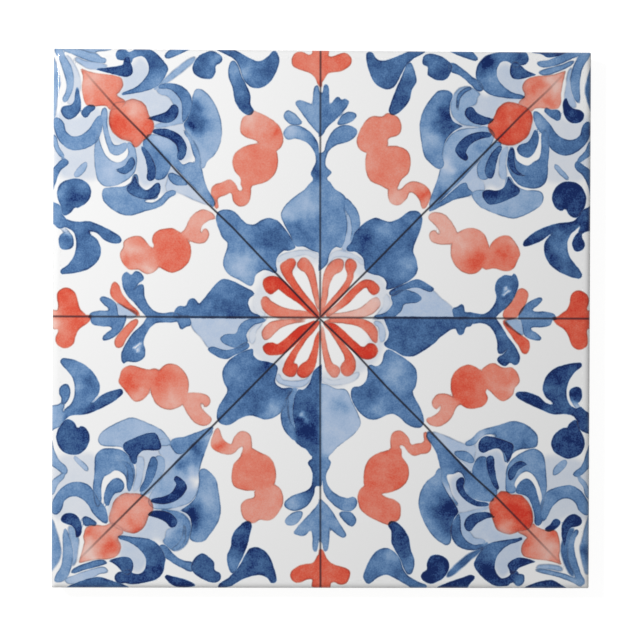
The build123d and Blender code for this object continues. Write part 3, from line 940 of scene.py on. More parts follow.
# Loads of the lower quarters that differ from their stencil's
BOTTOM_LEFT_LOADS: dict[str, float] = {
    "side leaf": 0.57, "pale side leaf": 0.46, "upper leaf": 0.34, "pale upper leaf": 0.69,
    "scroll arm": 0.86, "scroll head": 0.88, "top edge leaf": 1, "upper ball stalk": 0.69,
    "upper ball": 0.83, "horn": 0.57, "horn lining": 0.62, "horn crescent": 0.97, "outer crescent": 0.96,
    "under petal": 0.49, "inner crescent": 0.75, "left scroll": 0.65, "cup": 0.63, "bowl": 0.69,
    "cup crescent": 0.68, "cup shade": 0.31, "shell": 0.41, "corner drop": 0.94,
    "corner bean": 0.75, "side edge slip": 0.46, "side edge blade": 0.52,
    "floating leaf": 0.36, "side ball": 0.87, "side leaf root": 0.5, "side spear": 0.88,
    "bell": 0.67, "clapper": 0.65, "wing": 0.87, "top spear": 0.93, "upper corner dab": 0.5,
    "corner ball": 0.51, "upper pair, small": 0.52, "upper pair, large": 0.64, "upper pair, hook": 0.46,
    "lower pair, hook": 0.48, "top bud": 0.8, "side bud": 0.76, "top bud leaf": 0.61, "top bud oval": 0.53,
    "top bud arch": 0.75, "side bud leaf": 0.71, "middle petal": 0.86, "middle petal flap": 0.68,
    "middle petal fold": 0.64, "cross petal brim": 0.72, "cross petal": 0.29,
    "cross petal knob": 0.64, "cross petal shade": 0.64, "upper ring shade": 0.27,
    "side petal": 0.58, "slanting petal": 0.74,
}
BOTTOM_RIGHT_LOADS: dict[str, float] = {
    "fan field": 0.25, "flower field": 0.13, "side edge leaf": 0.51, "side leaf": 0.66,
    "pale side leaf": 0.78, "scroll arm": 0.86, "scroll head": 0.72, "upper ball stalk": 0.78,
    "upper ball": 1, "horn": 0.75, "side petal": 0.58, "blade": 0.64, "under petal": 0.7,
    "inner crescent": 0.95, "blade underside": 0.31, "left scroll": 0.64, "cup": 0.59,
    "cup crescent": 0.94, "shell": 0.63, "corner drop": 0.96, "corner bean": 0.96,
    "floating leaf": 0.51, "side ball": 0.91, "side leaf root": 0.89, "side spear": 0.94,
    "bell": 0.91, "clapper": 0.97, "clapper stem": 0.26, "wing": 0.74, "top spear": 0.92,
    "upper corner dab": 0.55, "corner ball": 0.8, "upper pair, small": 0.65, "upper pair, large": 0.71,
    "lower pair, large": 0.74, "lower pair, hook": 0.51, "top bud": 0.77, "side bud": 0.83,
    "side leaf drop": 0.79, "top bud leaf": 0.59, "top bud oval": 0.66, "side bud leaf": 0.82,
    "side bud wedge": 0.43, "middle petal": 0.35, "second loop": 0.58,
    "side ring shade": 0.29, "cross petal": 0.83, "horn lining": 0.37, "side bud slip": 0.65,
    "horn crescent": 0.92, "top bud arch": 0.62, "side edge blade": 0.64,
}

QUARTERS: tuple[Quarter, ...] = (
    Quarter("top left", (-1, 1), STENCIL_A, pools=TOP_LEFT_POOLS),
    Quarter("top right", (1, 1), STENCIL_B, pools=TOP_RIGHT_POOLS),
    Quarter(
        "bottom left", (-1, -1), STENCIL_B, BOTTOM_LEFT_REDRAWN, BOTTOM_LEFT_LOADS, BOTTOM_LEFT_POOLS,
        BOTTOM_LEFT_DRIFTS,
    ),
    Quarter(
        "bottom right", (1, -1), STENCIL_A, BOTTOM_RIGHT_REDRAWN, BOTTOM_RIGHT_LOADS, BOTTOM_RIGHT_POOLS,
        BOTTOM_RIGHT_DRIFTS,
    ),
)

# The thin lines, measured from the middle of the tile
UPRIGHT_LINE: tuple[Point, ...] = ((-0.1, -54.0), (-0.3, -20.0), (-0.4, 0.0), (-0.5, 30.0), (-0.55, 54.0))
LEVEL_LINE: tuple[Point, ...] = ((-54.0, 0.35), (54.0, 0.35))
FALLING_LINE: tuple[Point, ...] = (
    (-47.8, 49.4), (-42.0, 42.9), (-36.0, 36.9), (-29.5, 29.8), (-23.0, 23.0), (-18.0, 18.3), (-12.0, 12.0),
    (-1.1, 0.7), (6.4, -6.4), (13.0, -13.5), (21.1, -21.6), (29.2, -30.2), (35.0, -35.4), (41.1, -41.6),
    (47.8, -48.5),
)
RISING_LINE: tuple[Point, ...] = (
    (-49.0, -48.8), (-33.7, -33.4), (-20.7, -20.3), (-0.5, 0.3), (9.0, 9.8), (19.7, 20.8), (26.0, 27.0),
    (32.0, 33.1), (37.0, 38.2), (40.0, 41.3), (45.0, 46.0), (49.8, 51.0),
)


def linear(hex_colour: str) -> tuple[float, float, float, float]:
    """Turns an sRGB colour linear.

    Args:
        hex_colour: The colour, as in #F8F8F8.

    Returns:
        Its linear red, green and blue, and a full alpha.
    """
    code = np.array([int(hex_colour[i:i + 2], 16) for i in (1, 3, 5)]) / 255
    value = np.where(code <= 0.04045, code / 12.92, ((code + 0.055) / 1.055) ** 2.4)
    return (*value.tolist(), 1.0)


def add_node(
    tree: bpy.types.NodeTree,
    kind: str,
    inputs: Mapping[int | str, Any],
    stops: tuple[tuple[float, str], ...] = (),
    **settings: Any,
) -> Any:
    """Adds a node to a material, sets it up and links it.

    Args:
        tree: The material's node tree.
        kind: The node's type, without the ShaderNode that every such type starts with.
        inputs: By input name or number, the socket that feeds it or the value that it has.
        stops: Places and hex colours of a colour ramp.
        settings: The node's own settings.

    Returns:
        The node's outputs.
    """
    node = tree.nodes.new("ShaderNode" + kind)
    for name, value in settings.items():
        setattr(node, name, value)
    for key, value in inputs.items():
        if isinstance(value, bpy.types.NodeSocket):
            tree.links.new(value, node.inputs[key])
        else:
            node.inputs[key].default_value = value
    for index, (place, colour) in enumerate(stops):
        elements = node.color_ramp.elements
        element = elements[index] if index < 2 else elements.new(place)
        element.position, element.color = place, linear(colour)
    return node.outputs


def per_millimetre(size: float) -> float:
    """Scale of a pattern on Object coordinates, which are in metres.

    Args:
        size: Size of the pattern's grain.

    Returns:
        The scale.
    """
    return 1 / (size * METRES)


@dataclass(frozen=True)
class PaintedGlaze:
    """Tin glaze, dipped and fired glossy, with cobalt and coral colours painted on and sunk into it.

    The glaze gives a milky white with a sharp, slightly rippled gloss. The colours give soft edges, with a
    darker rim where the wet colour dried last, cloudy pools and a fine grain.

    Attributes:
        white: Colour of the bare glaze.
        blues: Cobalt from the thinnest to the thickest load.
        corals: Coral from the thinnest to the thickest load.
        ink: Colour of the thin lines.
        ink_cover: How much of what lies under it a thin line covers.
        outline: Colour of the fine grey line that the drying colour leaves round a stroke.
        outline_cover: How much that line covers.
        outline_width: Its width.
        outline_load: Load from which that line shows in full.
        outline_lead: How much less than the layer on top a layer may carry, from where its line is hidden
            to where it shows.
        ior: Refraction of the glassy surface.
        gloss: Strength of its gloss.
        roughness: Blur of its gloss.
        line_width: Width of a thin line.
        line_fade: How far its edge fades inwards and outwards.
        spread: How far the wet colour spreads past its outline.
        stray: How far a painted edge strays.
        brush: Length of those strays.
        rim_start: Where the darker rim starts, inside the edge.
        rim_width: Where it has faded out.
        rim_blue: What the rim adds to a blue load.
        rim_coral: What it adds to a coral load.
        dried_span: Values of the cloudy noise between which the rim and the outline come out.
        dried_least: How strongly they show elsewhere.
        grain: Size of the pigment's grain, drawn coarser than it is so that it shows.
        grain_gain: How far the grain makes a load larger and smaller.
        cloud: Size of the cloudy pools.
        cloud_gain: How far the pools make a load larger and smaller.
        ripple: Length of the gloss's ripples.
        ripple_height: Their height.
        ripple_strength: How strongly they show.
    """

    white: str = "#F8F8F8"
    blues: tuple[tuple[float, str], ...] = (
        (0.0, "#FFFFFF"), (1.0, "#0E2A66"), (0.1, "#E9EDF4"), (0.2, "#D5DFEE"), (0.35, "#B6CBE8"),
        (0.5, "#94B3D8"), (0.62, "#7298C6"), (0.74, "#537BAE"), (0.84, "#406496"), (0.92, "#2D4D86"),
    )
    corals: tuple[tuple[float, str], ...] = (
        (0.0, "#FFFFFF"), (1.0, "#DE3D2C"), (0.2, "#F9DDD5"), (0.4, "#F5B7A8"), (0.6, "#F1907B"),
        (0.8, "#EC674F"),
    )
    ink: str = "#22222F"
    ink_cover: float = 0.93
    outline: str = "#4A484C"
    outline_cover: float = 0.62
    outline_width: float = 0.28
    outline_load: float = 0.3
    outline_lead: tuple[float, float] = (-0.2, -0.1)
    ior: float = 1.5
    gloss: float = 0.3
    roughness: float = 0.09
    line_width: float = 0.4
    line_fade: tuple[float, float] = (0.14, 0.16)
    spread: float = 0.11
    stray: float = 0.1
    brush: float = 1.1
    rim_start: float = 0.08
    rim_width: float = 0.42
    rim_blue: float = 0.12
    rim_coral: float = 0.07
    dried_span: tuple[float, float] = (0.38, 0.58)
    dried_least: float = 0.25
    grain: float = 0.3
    grain_gain: float = 0.13
    cloud: float = 2.6
    cloud_gain: float = 0.17
    ripple: float = 7.0
    ripple_height: float = 0.02
    ripple_strength: float = 0.05

    def coat_load(
        self, add: AddNode, coat: Coat, stray: Any, dried: Any
    ) -> tuple[Any, Any, Any]:
        """Adds the nodes that give one layer's load at a point of the surface.

        The load is covered by a smooth step over the layer's softness, and is larger at the rim, where the
        colour dried. The fine line round a stroke is a smooth step too, from its edge inwards, and weaker
        where the load is pale.

        Args:
            add: Adds a node to the material.
            coat: The layer.
            stray: Socket with what the painted edges stray by.
            dried: Socket with how strongly the rim shows, from 0 to 1.

        Returns:
            The sockets with the load, the load as if it covered fully, and the fine line, from 0 to 1.
        """
        layer = add("Attribute", {}, attribute_name=coat.attribute)["Vector"]
        distance, load, softness = add("SeparateXYZ", {0: layer})
        edge = add("Math", {0: distance, 1: stray}, operation="ADD")[0]
        outer = add("Math", {0: softness, 1: -1.0}, operation="MULTIPLY")[0]
        cover = add(
            "MapRange", {0: edge, 1: outer, 2: softness, 3: 0.0, 4: 1.0},
            interpolation_type="SMOOTHSTEP",
        )[0]
        gain = self.rim_blue if coat.is_blue else self.rim_coral
        if coat is Coat.FIELD:
            gain = 0.0
        rim = add(
            "MapRange", {0: edge, 1: self.rim_start, 2: self.rim_width, 3: gain, 4: 0.0},
            interpolation_type="SMOOTHSTEP",
        )[0]
        thick = add("Math", {0: rim, 1: dried, 2: load}, operation="MULTIPLY_ADD")[0]
        traced = add("MapRange", {0: load, 1: 0.0, 2: self.outline_load, 3: 0.0, 4: cover})[0]
        line = add(
            "MapRange", {0: edge, 1: 0.0, 2: self.outline_width, 3: traced, 4: 0.0},
            interpolation_type="SMOOTHSTEP",
        )[0]
        covered = add("Math", {0: thick, 1: cover}, operation="MULTIPLY")[0]
        return covered, load, line

    def family_load(
        self, add: AddNode, coats: list[Coat], stray: Any, dried: Any, cloud: Any
    ) -> tuple[Any, Any]:
        """Adds the nodes that give the load of one colour: the largest of its layers, made uneven.

        The fine line round a layer's strokes shows where no other layer carries clearly more colour.

        Args:
            add: Adds a node to the material.
            coats: The colour's layers.
            stray: Socket with what the painted edges stray by.
            dried: Socket with how strongly the rim shows, from 0 to 1.
            cloud: Socket with the factor of the cloudy pools and the grain.

        Returns:
            The sockets with the load and with the fine lines, from 0 to 1.
        """
        layers = {coat: self.coat_load(add, coat, stray, dried) for coat in coats}
        total: Any = 0.0
        for covered, _, _ in layers.values():
            total = add("Math", {0: covered, 1: total}, operation="MAXIMUM")[0]
        lines: Any = 0.0
        for coat, (_, load, line) in layers.items():
            if coat is Coat.FIELD:
                continue
            lead = add("Math", {0: load, 1: total}, operation="SUBTRACT")[0]
            hidden, bare = self.outline_lead
            shown = add("MapRange", {0: lead, 1: hidden, 2: bare, 3: 0.0, 4: line})[0]
            lines = add("Math", {0: shown, 1: lines}, operation="MAXIMUM")[0]
        uneven = add("Math", {0: total, 1: cloud}, operation="MULTIPLY")[0]
        return uneven, lines

    def line_cover(self, add: AddNode) -> Any:
        """Adds the nodes that say how much of a thin line covers a point.

        A line covers what lies within half its width, and fades over a short way on both sides.

        Args:
            add: Adds a node to the material.

        Returns:
            The socket with the cover, from 0 to 1.
        """
        total: Any = 0.0
        for name in ("lines_straight", "lines_slanting"):
            layer = add("Attribute", {}, attribute_name=name)["Vector"]
            first, second, strength = add("SeparateXYZ", {0: layer})
            for offset in (first, second):
                gap = add("Math", {0: offset}, operation="ABSOLUTE")[0]
                inwards, outwards = self.line_fade
                ends = {1: self.line_width / 2 - inwards, 2: self.line_width / 2 + outwards}
                step = add(
                    "MapRange", {0: gap, **ends, 3: strength, 4: 0.0},
                    interpolation_type="SMOOTHSTEP",
                )[0]
                total = add("Math", {0: step, 1: total}, operation="MAXIMUM")[0]
        return add("Math", {0: total, 1: self.ink_cover}, operation="MULTIPLY")[0]

    def dress(self) -> bpy.types.Material:
        """Makes the material.

        Returns:
            The material.
        """
        material = bpy.data.materials.new("painted_tin_glaze")
        material.use_nodes = True
        tree = material.node_tree
        add = partial(add_node, tree)
        shader = tree.nodes["Principled BSDF"]
        place = add("TexCoord", {})["Object"]
        sizes = {"brush": self.brush, "grain": self.grain, "cloud": self.cloud, "ripple": self.ripple}
        noise = {
            name: add("TexNoise", {"Vector": place, "Scale": per_millimetre(size), "Detail": 3.0})[0]
            for name, size in sizes.items()
        }
        strays = {3: self.spread - self.stray, 4: self.spread + self.stray}
        stray = add("MapRange", {0: noise["brush"], 1: 0.0, 2: 1.0, **strays})[0]
        dries = {1: self.dried_span[0], 2: self.dried_span[1], 3: self.dried_least, 4: 1.0}
        dried = add("MapRange", {0: noise["cloud"], **dries})[0]
        traced = add("Math", {0: dried, 1: self.outline_cover}, operation="MULTIPLY")[0]
        grains = {3: 1 - self.grain_gain, 4: 1 + self.grain_gain}
        grain = add("MapRange", {0: noise["grain"], **NOISE_SPAN, **grains})[0]
        clouds = {3: 1 - self.cloud_gain, 4: 1 + self.cloud_gain}
        pools = add("MapRange", {0: noise["cloud"], **NOISE_SPAN, **clouds})[0]
        cloud = add("Math", {0: grain, 1: pools}, operation="MULTIPLY")[0]
        colour: Any = linear(self.white)
        families = ((True, self.blues), (False, self.corals))
        for is_blue, stops in families:
            coats = [coat for coat in Coat if coat.is_blue is is_blue]
            load, lines = self.family_load(add, coats, stray, dried, cloud)
            tint = add("ValToRGB", {0: load}, stops)[0]
            colour = add("Mix", {0: 1.0, 6: colour, 7: tint}, data_type="RGBA", blend_type="MULTIPLY")[2]
            cover = add("Math", {0: lines, 1: traced}, operation="MULTIPLY")[0]
            colour = add("Mix", {0: cover, 6: colour, 7: linear(self.outline)}, data_type="RGBA")[2]
        colour = add("Mix", {0: self.line_cover(add), 6: colour, 7: linear(self.ink)}, data_type="RGBA")[2]
        ripples = {"Strength": self.ripple_strength, "Distance": self.ripple_height * METRES}
        bump = add("Bump", {"Height": noise["ripple"], **ripples})[0]
        tree.links.new(colour, shader.inputs["Base Color"])
        tree.links.new(bump, shader.inputs["Normal"])
        shader.inputs["IOR"].default_value = self.ior
        shader.inputs["Specular IOR Level"].default_value = self.gloss
        shader.inputs["Roughness"].default_value = self.roughness
        return material


@dataclass(frozen=True)
class BareBiscuit:
    """Pressed white-bodied clay, fired and left bare: matt, chalky and pale buff.

    It gives a dull, slightly warm surface with fine pits, darker specks of iron and a faint cloudiness.

    Attributes:
        body: Colour of the clay.
        shade: Colour of its darker clouds.
        speck: Colour of the iron specks.
        roughness: Blur of its weak gloss.
        cloud: Size of the clouds.
        grit: Size of the pits, drawn coarser than they are so that they show.
        pit_depth: Their depth.
        pit_strength: How strongly they show.
        speck_spacing: Distance from speck to speck.
        speck_edge: Where a speck starts and has faded out, as shares of that distance.
        speck_cover: How much of the clay a speck covers.
    """

    body: str = "#E6DCCB"
    shade: str = "#D6C7B1"
    speck: str = "#8C6B4E"
    roughness: float = 0.85
    cloud: float = 9.0
    grit: float = 0.35
    pit_depth: float = 0.08
    pit_strength: float = 0.35
    speck_spacing: float = 2.2
    speck_edge: tuple[float, float] = (0.03, 0.09)
    speck_cover: float = 0.7

    def dress(self) -> bpy.types.Material:
        """Makes the material.

        Returns:
            The material.
        """
        material = bpy.data.materials.new("bare_clay_biscuit")
        material.use_nodes = True
        tree = material.node_tree
        add = partial(add_node, tree)
        shader = tree.nodes["Principled BSDF"]
        place = add("TexCoord", {})["Object"]
        cloud = add("TexNoise", {"Vector": place, "Scale": per_millimetre(self.cloud), "Detail": 4.0})[0]
        clay = add("ValToRGB", {0: cloud}, ((0.3, self.shade), (0.7, self.body)))[0]
        cells = add("TexVoronoi", {"Vector": place, "Scale": per_millimetre(self.speck_spacing)})["Distance"]
        start, end = self.speck_edge
        specks = add("MapRange", {0: cells, 1: start, 2: end, 3: self.speck_cover, 4: 0.0})[0]
        colour = add("Mix", {0: specks, 6: clay, 7: linear(self.speck)}, data_type="RGBA")[2]
        pits = add("TexNoise", {"Vector": place, "Scale": per_millimetre(self.grit), "Detail": 5.0})[0]
        depth = {"Strength": self.pit_strength, "Distance": self.pit_depth * METRES}
        bump = add("Bump", {"Height": pits, **depth})[0]
        tree.links.new(colour, shader.inputs["Base Color"])
        tree.links.new(bump, shader.inputs["Normal"])
        shader.inputs["Roughness"].default_value = self.roughness
        return material


def ring_quads(rings: list[NDArray[np.int64]]) -> NDArray[np.int64]:
    """Quads between neighbouring closed rings of points that lie under one another.

    Args:
        rings: The points' numbers, ring by ring, each ring as long as the others.

    Returns:
        The quads, one row each, in the order that faces them to the left of the way round the rings.
    """
    upper, lower = np.stack(rings[:-1]), np.stack(rings[1:])
    quads = np.stack([upper, lower, np.roll(lower, -1, axis=1), np.roll(upper, -1, axis=1)], axis=2)
    return quads.reshape(-1, 4)


@dataclass(frozen=True)
class TalaveraTile:
    """The tile: glazed face with a cushion edge, upright lands, relief below them and a keyed back.

    Attributes:
        ornament: What is painted on the face.
        side: From edge to edge.
        thickness: From the rib tops of the back to the face.
        corner_radius: Upright corners of the die.
        cushion_width: Rounded arris, measured across the face.
        cushion_drop: The same arris, measured down the edge.
        land_height: Upright band of the edge.
        relief_draft: Slope of the edge below the land.
        back_bevel: Bevel between the edge and the back.
        pocket_side: Mouth of one key pocket in the back.
        pocket_corner: Corner radius of that mouth.
        pocket_depth: From the rib tops to the pocket's floor.
        pocket_draft: Slope of the pocket's walls.
        rib_width: Rib between two pockets.
        pockets_per_row: Pockets along one side.
        border: Strip of plain back along the edge, at a corner.
        border_bow: How much narrower that strip is in the middle of a side.
        glaze_height: Where the glaze ends on the edge, above the back, on average.
        glaze_wave: How far that end strays up and down.
        flat_cells: Cells of the face's grid along the flat part of a side.
        arris_cells: Cells round the arris.
        smooth_angle: Faces that meet at less than this angle are shaded as one.
    """

    ornament: Ornament
    side: float
    thickness: float
    corner_radius: float = 0.5
    cushion_width: float = 1.3
    cushion_drop: float = 1.0
    land_height: float = 2.5
    relief_draft: float = 7.0
    back_bevel: float = 0.4
    pocket_side: float = 13.0
    pocket_corner: float = 1.5
    pocket_depth: float = 0.8
    pocket_draft: float = 25.0
    rib_width: float = 3.5
    pockets_per_row: int = 6
    border: float = 2.0
    border_bow: float = 0.6
    glaze_height: float = 4.0
    glaze_wave: float = 0.35
    flat_cells: int = 281
    arris_cells: int = 6
    smooth_angle: float = 34.0

    def grid_lines(self) -> Array:
        """Places of the face's grid lines: even on the flat, and at even angles round the arris.

        Returns:
            The places, from one edge to the other.
        """
        flat_half = self.side / 2 - self.cushion_width
        angle = np.linspace(0.0, np.pi / 2, self.arris_cells + 1)[1:]
        arris = flat_half + self.cushion_width * np.sin(angle)
        flat = np.linspace(-flat_half, flat_half, self.flat_cells + 1)
        return np.concatenate([-arris[::-1], flat, arris])

    def face_points(self, lines: Array) -> Array:
        """Points of the glazed face.

        In the corners a point of the square is drawn in until it lies on a quarter disc. The height is the
        lower of the two arris profiles at the point, along x and along y, each a quarter of an ellipse.

        Args:
            lines: Places of the grid's lines.

        Returns:
            The points, as an array of rows, columns and 3.
        """
        flat = np.stack(np.meshgrid(lines, lines, indexing="ij"), axis=2)
        past = np.maximum(np.abs(flat) - (self.side / 2 - self.corner_radius), 0.0)
        length = np.maximum(np.hypot(past[..., 0], past[..., 1]), TINY)
        kept = past * (past.max(axis=2) / length)[..., None]
        flat = flat - np.sign(flat) * (past - kept)
        inset = np.clip(self.side / 2 - np.abs(flat), 0.0, self.cushion_width)
        bow = np.sqrt(1 - (1 - inset / self.cushion_width) ** 2)
        height = self.thickness - self.cushion_drop + self.cushion_drop * bow.min(axis=2)
        return np.concatenate([flat, height[..., None]], axis=2)

    def edge_rings(self, rim: Array) -> Array:
        """Rings of points down the edge, from the glaze's end to the back and its plain border.

        Each ring is the rim, drawn in to its own half width and put at its own height. The glaze's end
        strays by three sines of the angle round the tile. The border's inner ring bows outwards as a
        parabola along each side.

        Args:
            rim: Points of the rim, one row each.

        Returns:
            The rings, as an array of rings, points and 3.
        """
        half = self.side / 2
        land_foot = self.thickness - self.cushion_drop - self.land_height
        bevel_half = half - (land_foot - self.back_bevel) * np.tan(np.radians(self.relief_draft))
        turn = np.arctan2(rim[:, 1], rim[:, 0])
        wave = 0.5 * np.sin(5 * turn + 0.4) + 0.3 * np.sin(13 * turn + 2.0) + 0.2 * np.sin(31 * turn)
        level = np.ones(len(rim))
        back_half = bevel_half - self.back_bevel
        bow = self.border_bow * (1 - (np.abs(rim[:, :2]).min(axis=1) / half) ** 2)
        sections = (
            (half, self.glaze_height + self.glaze_wave * wave),
            (half, land_foot * level),
            (bevel_half, self.back_bevel * level),
            (back_half, 0.0 * level),
            (back_half - self.border + bow, 0.0 * level),
        )
        return np.stack(
            [np.column_stack([*(rim[:, :2].T * (width / half)), height]) for width, height in sections]
        )

    def pocket_rings(self, arc_cells: int = 4) -> Array:
        """Mouth and floor rings of all pockets.

        A ring is a square with quarter circles at its corners. The floor's ring is the mouth's, moved in by
        the depth times the tangent of the draft.

        Args:
            arc_cells: Cells of one corner.

        Returns:
            The rings, as an array of pockets, 2 rings, points and 3.
        """
        angle = np.linspace(0.0, np.pi / 2, arc_cells + 1) + np.arange(4)[:, None] * np.pi / 2
        arc = np.stack([np.cos(angle), np.sin(angle)], axis=2)
        straight = self.pocket_side / 2 - self.pocket_corner
        corner = np.sign(arc[:, arc_cells // 2])[:, None] * straight
        run = self.pocket_depth * np.tan(np.radians(self.pocket_draft))
        mouth = (corner + self.pocket_corner * arc).reshape(-1, 2)
        floor = (corner + (self.pocket_corner - run) * arc).reshape(-1, 2)
        pitch = self.pocket_side + self.rib_width
        along = (np.arange(self.pockets_per_row) - (self.pockets_per_row - 1) / 2) * pitch
        middle = np.stack(np.meshgrid(along, along, indexing="ij"), axis=2).reshape(-1, 1, 1, 2)
        flat = middle + np.stack([mouth, floor])[None]
        depths = np.array([0.0, self.pocket_depth])[None, :, None, None]
        height = np.broadcast_to(depths, (*flat.shape[:3], 1))
        return np.concatenate([flat, height], axis=3)

    def back_plane(self, outer: Array, mouths: Array) -> NDArray[np.int64]:
        """Triangles of the flat back between its outline and the pockets' mouths, all facing down.

        Args:
            outer: Points of the outline.
            mouths: Points of the mouths, as an array of pockets, points and 3.

        Returns:
            The triangles, one row each, numbered through the outline and then the mouths.
        """
        loops = [[Vector(point) for point in loop] for loop in (outer, *mouths)]
        triangles = np.array(tessellate_polygon(loops))
        corner = np.concatenate([outer, *mouths])[triangles]
        first, second = corner[:, 1] - corner[:, 0], corner[:, 2] - corner[:, 0]
        upward = first[:, 0] * second[:, 1] - first[:, 1] * second[:, 0] > 0
        triangles[upward] = triangles[upward][:, ::-1]
        return triangles

    def bake_map(self, mesh: bpy.types.Mesh, points: Array) -> None:
        """Lays the surface out flat for baking.

        Most of the sheet is the face seen from above. A small square at the top right is the back, and four
        strips down the right side are the four edges, each unrolled along the tile.

        Args:
            mesh: The tile's mesh.
            points: Its points, in millimetres.
        """
        # Shares of the sheet
        margin, face_side = 0.008, 0.83
        back_start, back_side = 0.85, 0.14
        strip_start, strip_pitch, strip_width, strip_length = 0.848, 0.037, 0.03, 0.82
        steep_limit = 0.2  # a face is an edge's if its normal rises or falls by less than this
        corners = np.empty(len(mesh.loops), dtype=np.int64)
        mesh.loops.foreach_get("vertex_index", corners)
        sizes = np.empty(len(mesh.polygons), dtype=np.int64)
        mesh.polygons.foreach_get("loop_total", sizes)
        normals = np.empty(len(mesh.polygons) * 3)
        mesh.polygons.foreach_get("normal", normals)
        normal = np.repeat(normals.reshape(-1, 3), sizes, axis=0)
        share = points[corners] / self.side + 0.5
        face = margin + face_side * share[:, :2]
        back = back_start + back_side * share[:, :2]
        steep = np.abs(normal[:, 2]) < steep_limit
        along_y = np.abs(normal[:, 0]) > np.abs(normal[:, 1])
        strip = np.where(along_y, 0, 2) + (np.where(along_y, normal[:, 0], normal[:, 1]) > 0)
        level = points[corners][:, 2] / self.thickness
        across = strip_start + strip_pitch * strip + strip_width * level
        along = margin + strip_length * np.where(along_y, share[:, 1], share[:, 0])
        edge = np.column_stack([across, along])
        sheet = np.where((normal[:, 2] > 0)[:, None], face, back)
        sheet = np.where(steep[:, None], edge, sheet)
        layer = mesh.uv_layers.new(name="OFBake")
        layer.uv.foreach_set("vector", sheet.astype(np.float32).ravel())

    def build(self) -> bpy.types.Object:
        """Makes the tile as one closed mesh, with the painting on its points.

        Returns:
            The tile's object.
        """
        lines = self.grid_lines()
        count = len(lines)
        number = np.arange(count * count).reshape(count, count)
        face = self.face_points(lines)
        around = np.concatenate([number[:-1, 0], number[-1, :-1], number[:0:-1, -1], number[0, :0:-1]])
        rings = self.edge_rings(face.reshape(-1, 3)[around])
        pockets = self.pocket_rings()
        points = np.concatenate([face.reshape(-1, 3), rings.reshape(-1, 3), pockets.reshape(-1, 3)])

        ring_number = count**2 + np.arange(rings[..., 0].size).reshape(rings.shape[:2])
        pocket_number = np.arange(pockets[..., 0].size).reshape(pockets.shape[:3])
        pocket_number = pocket_number + count**2 + ring_number.size
        cells = np.stack([number[:-1, :-1], number[1:, :-1], number[1:, 1:], number[:-1, 1:]], axis=2)
        glazed = np.concatenate([cells.reshape(-1, 4), ring_quads([around, ring_number[0]])])
        edge = ring_quads(list(ring_number))
        mouths, floors = pocket_number[:, 0], pocket_number[:, 1]
        walls = np.concatenate([ring_quads([mouth, floor]) for mouth, floor in zip(mouths, floors)])
        back_number = np.concatenate([ring_number[-1], mouths.ravel()])
        back = back_number[self.back_plane(rings[-1], pockets[:, 0])]

        mesh = bpy.data.meshes.new(NODE + "_glazed")
        kinds = (glazed, edge, walls, back, floors[:, ::-1])
        polygons = [polygon for kind in kinds for polygon in kind.tolist()]
        mesh.from_pydata((points * METRES).tolist(), [], polygons)
        mesh.materials.append(PaintedGlaze().dress())
        mesh.materials.append(BareBiscuit().dress())
        finish = (np.arange(len(polygons)) >= len(glazed)).astype(np.int32)
        mesh.polygons.foreach_set("material_index", finish)
        mesh.shade_smooth()
        mesh.set_sharp_from_angle(angle=np.radians(self.smooth_angle))
        # Away from the face nothing is painted: points there lie outside every outline and far from the lines
        bare = np.array([-self.ornament.margin, 0.0, 0.2])
        off_line = np.array([9.0, 9.0, 0.0])
        layers = [(coat.attribute, layer, bare) for coat, layer in self.ornament.coats(lines).items()]
        layers += [(name, layer, off_line) for name, layer in self.ornament.thin_lines(lines).items()]
        for name, layer, elsewhere in layers:
            values = np.tile(elsewhere, (len(points), 1))
            values[:count**2] = layer.reshape(-1, 3)
            attribute = mesh.attributes.new(name, "FLOAT_VECTOR", "POINT")
            attribute.data.foreach_set("vector", values.astype(np.float32).ravel())
        self.bake_map(mesh, points)
        tile = bpy.data.objects.new(NODE + "_glazed", mesh)
        bpy.context.scene.collection.objects.link(tile)
        return tile


def seen_rays(add: AddNode) -> Any:
    """Adds the nodes that tell what is seen from what only gives light.

    Seen is what a ray from the camera meets, straight on, in gloss or through glass.

    Args:
        add: Adds a node to a material or the world.

    Returns:
        The socket with 1 for what is seen and 0 otherwise.
    """
    ray = add("LightPath", {})
    seen = ray["Is Camera Ray"]
    for name in ("Is Glossy Ray", "Is Transmission Ray"):
        seen = add("Math", {0: seen, 1: ray[name]}, operation="MAXIMUM")[0]
    return seen


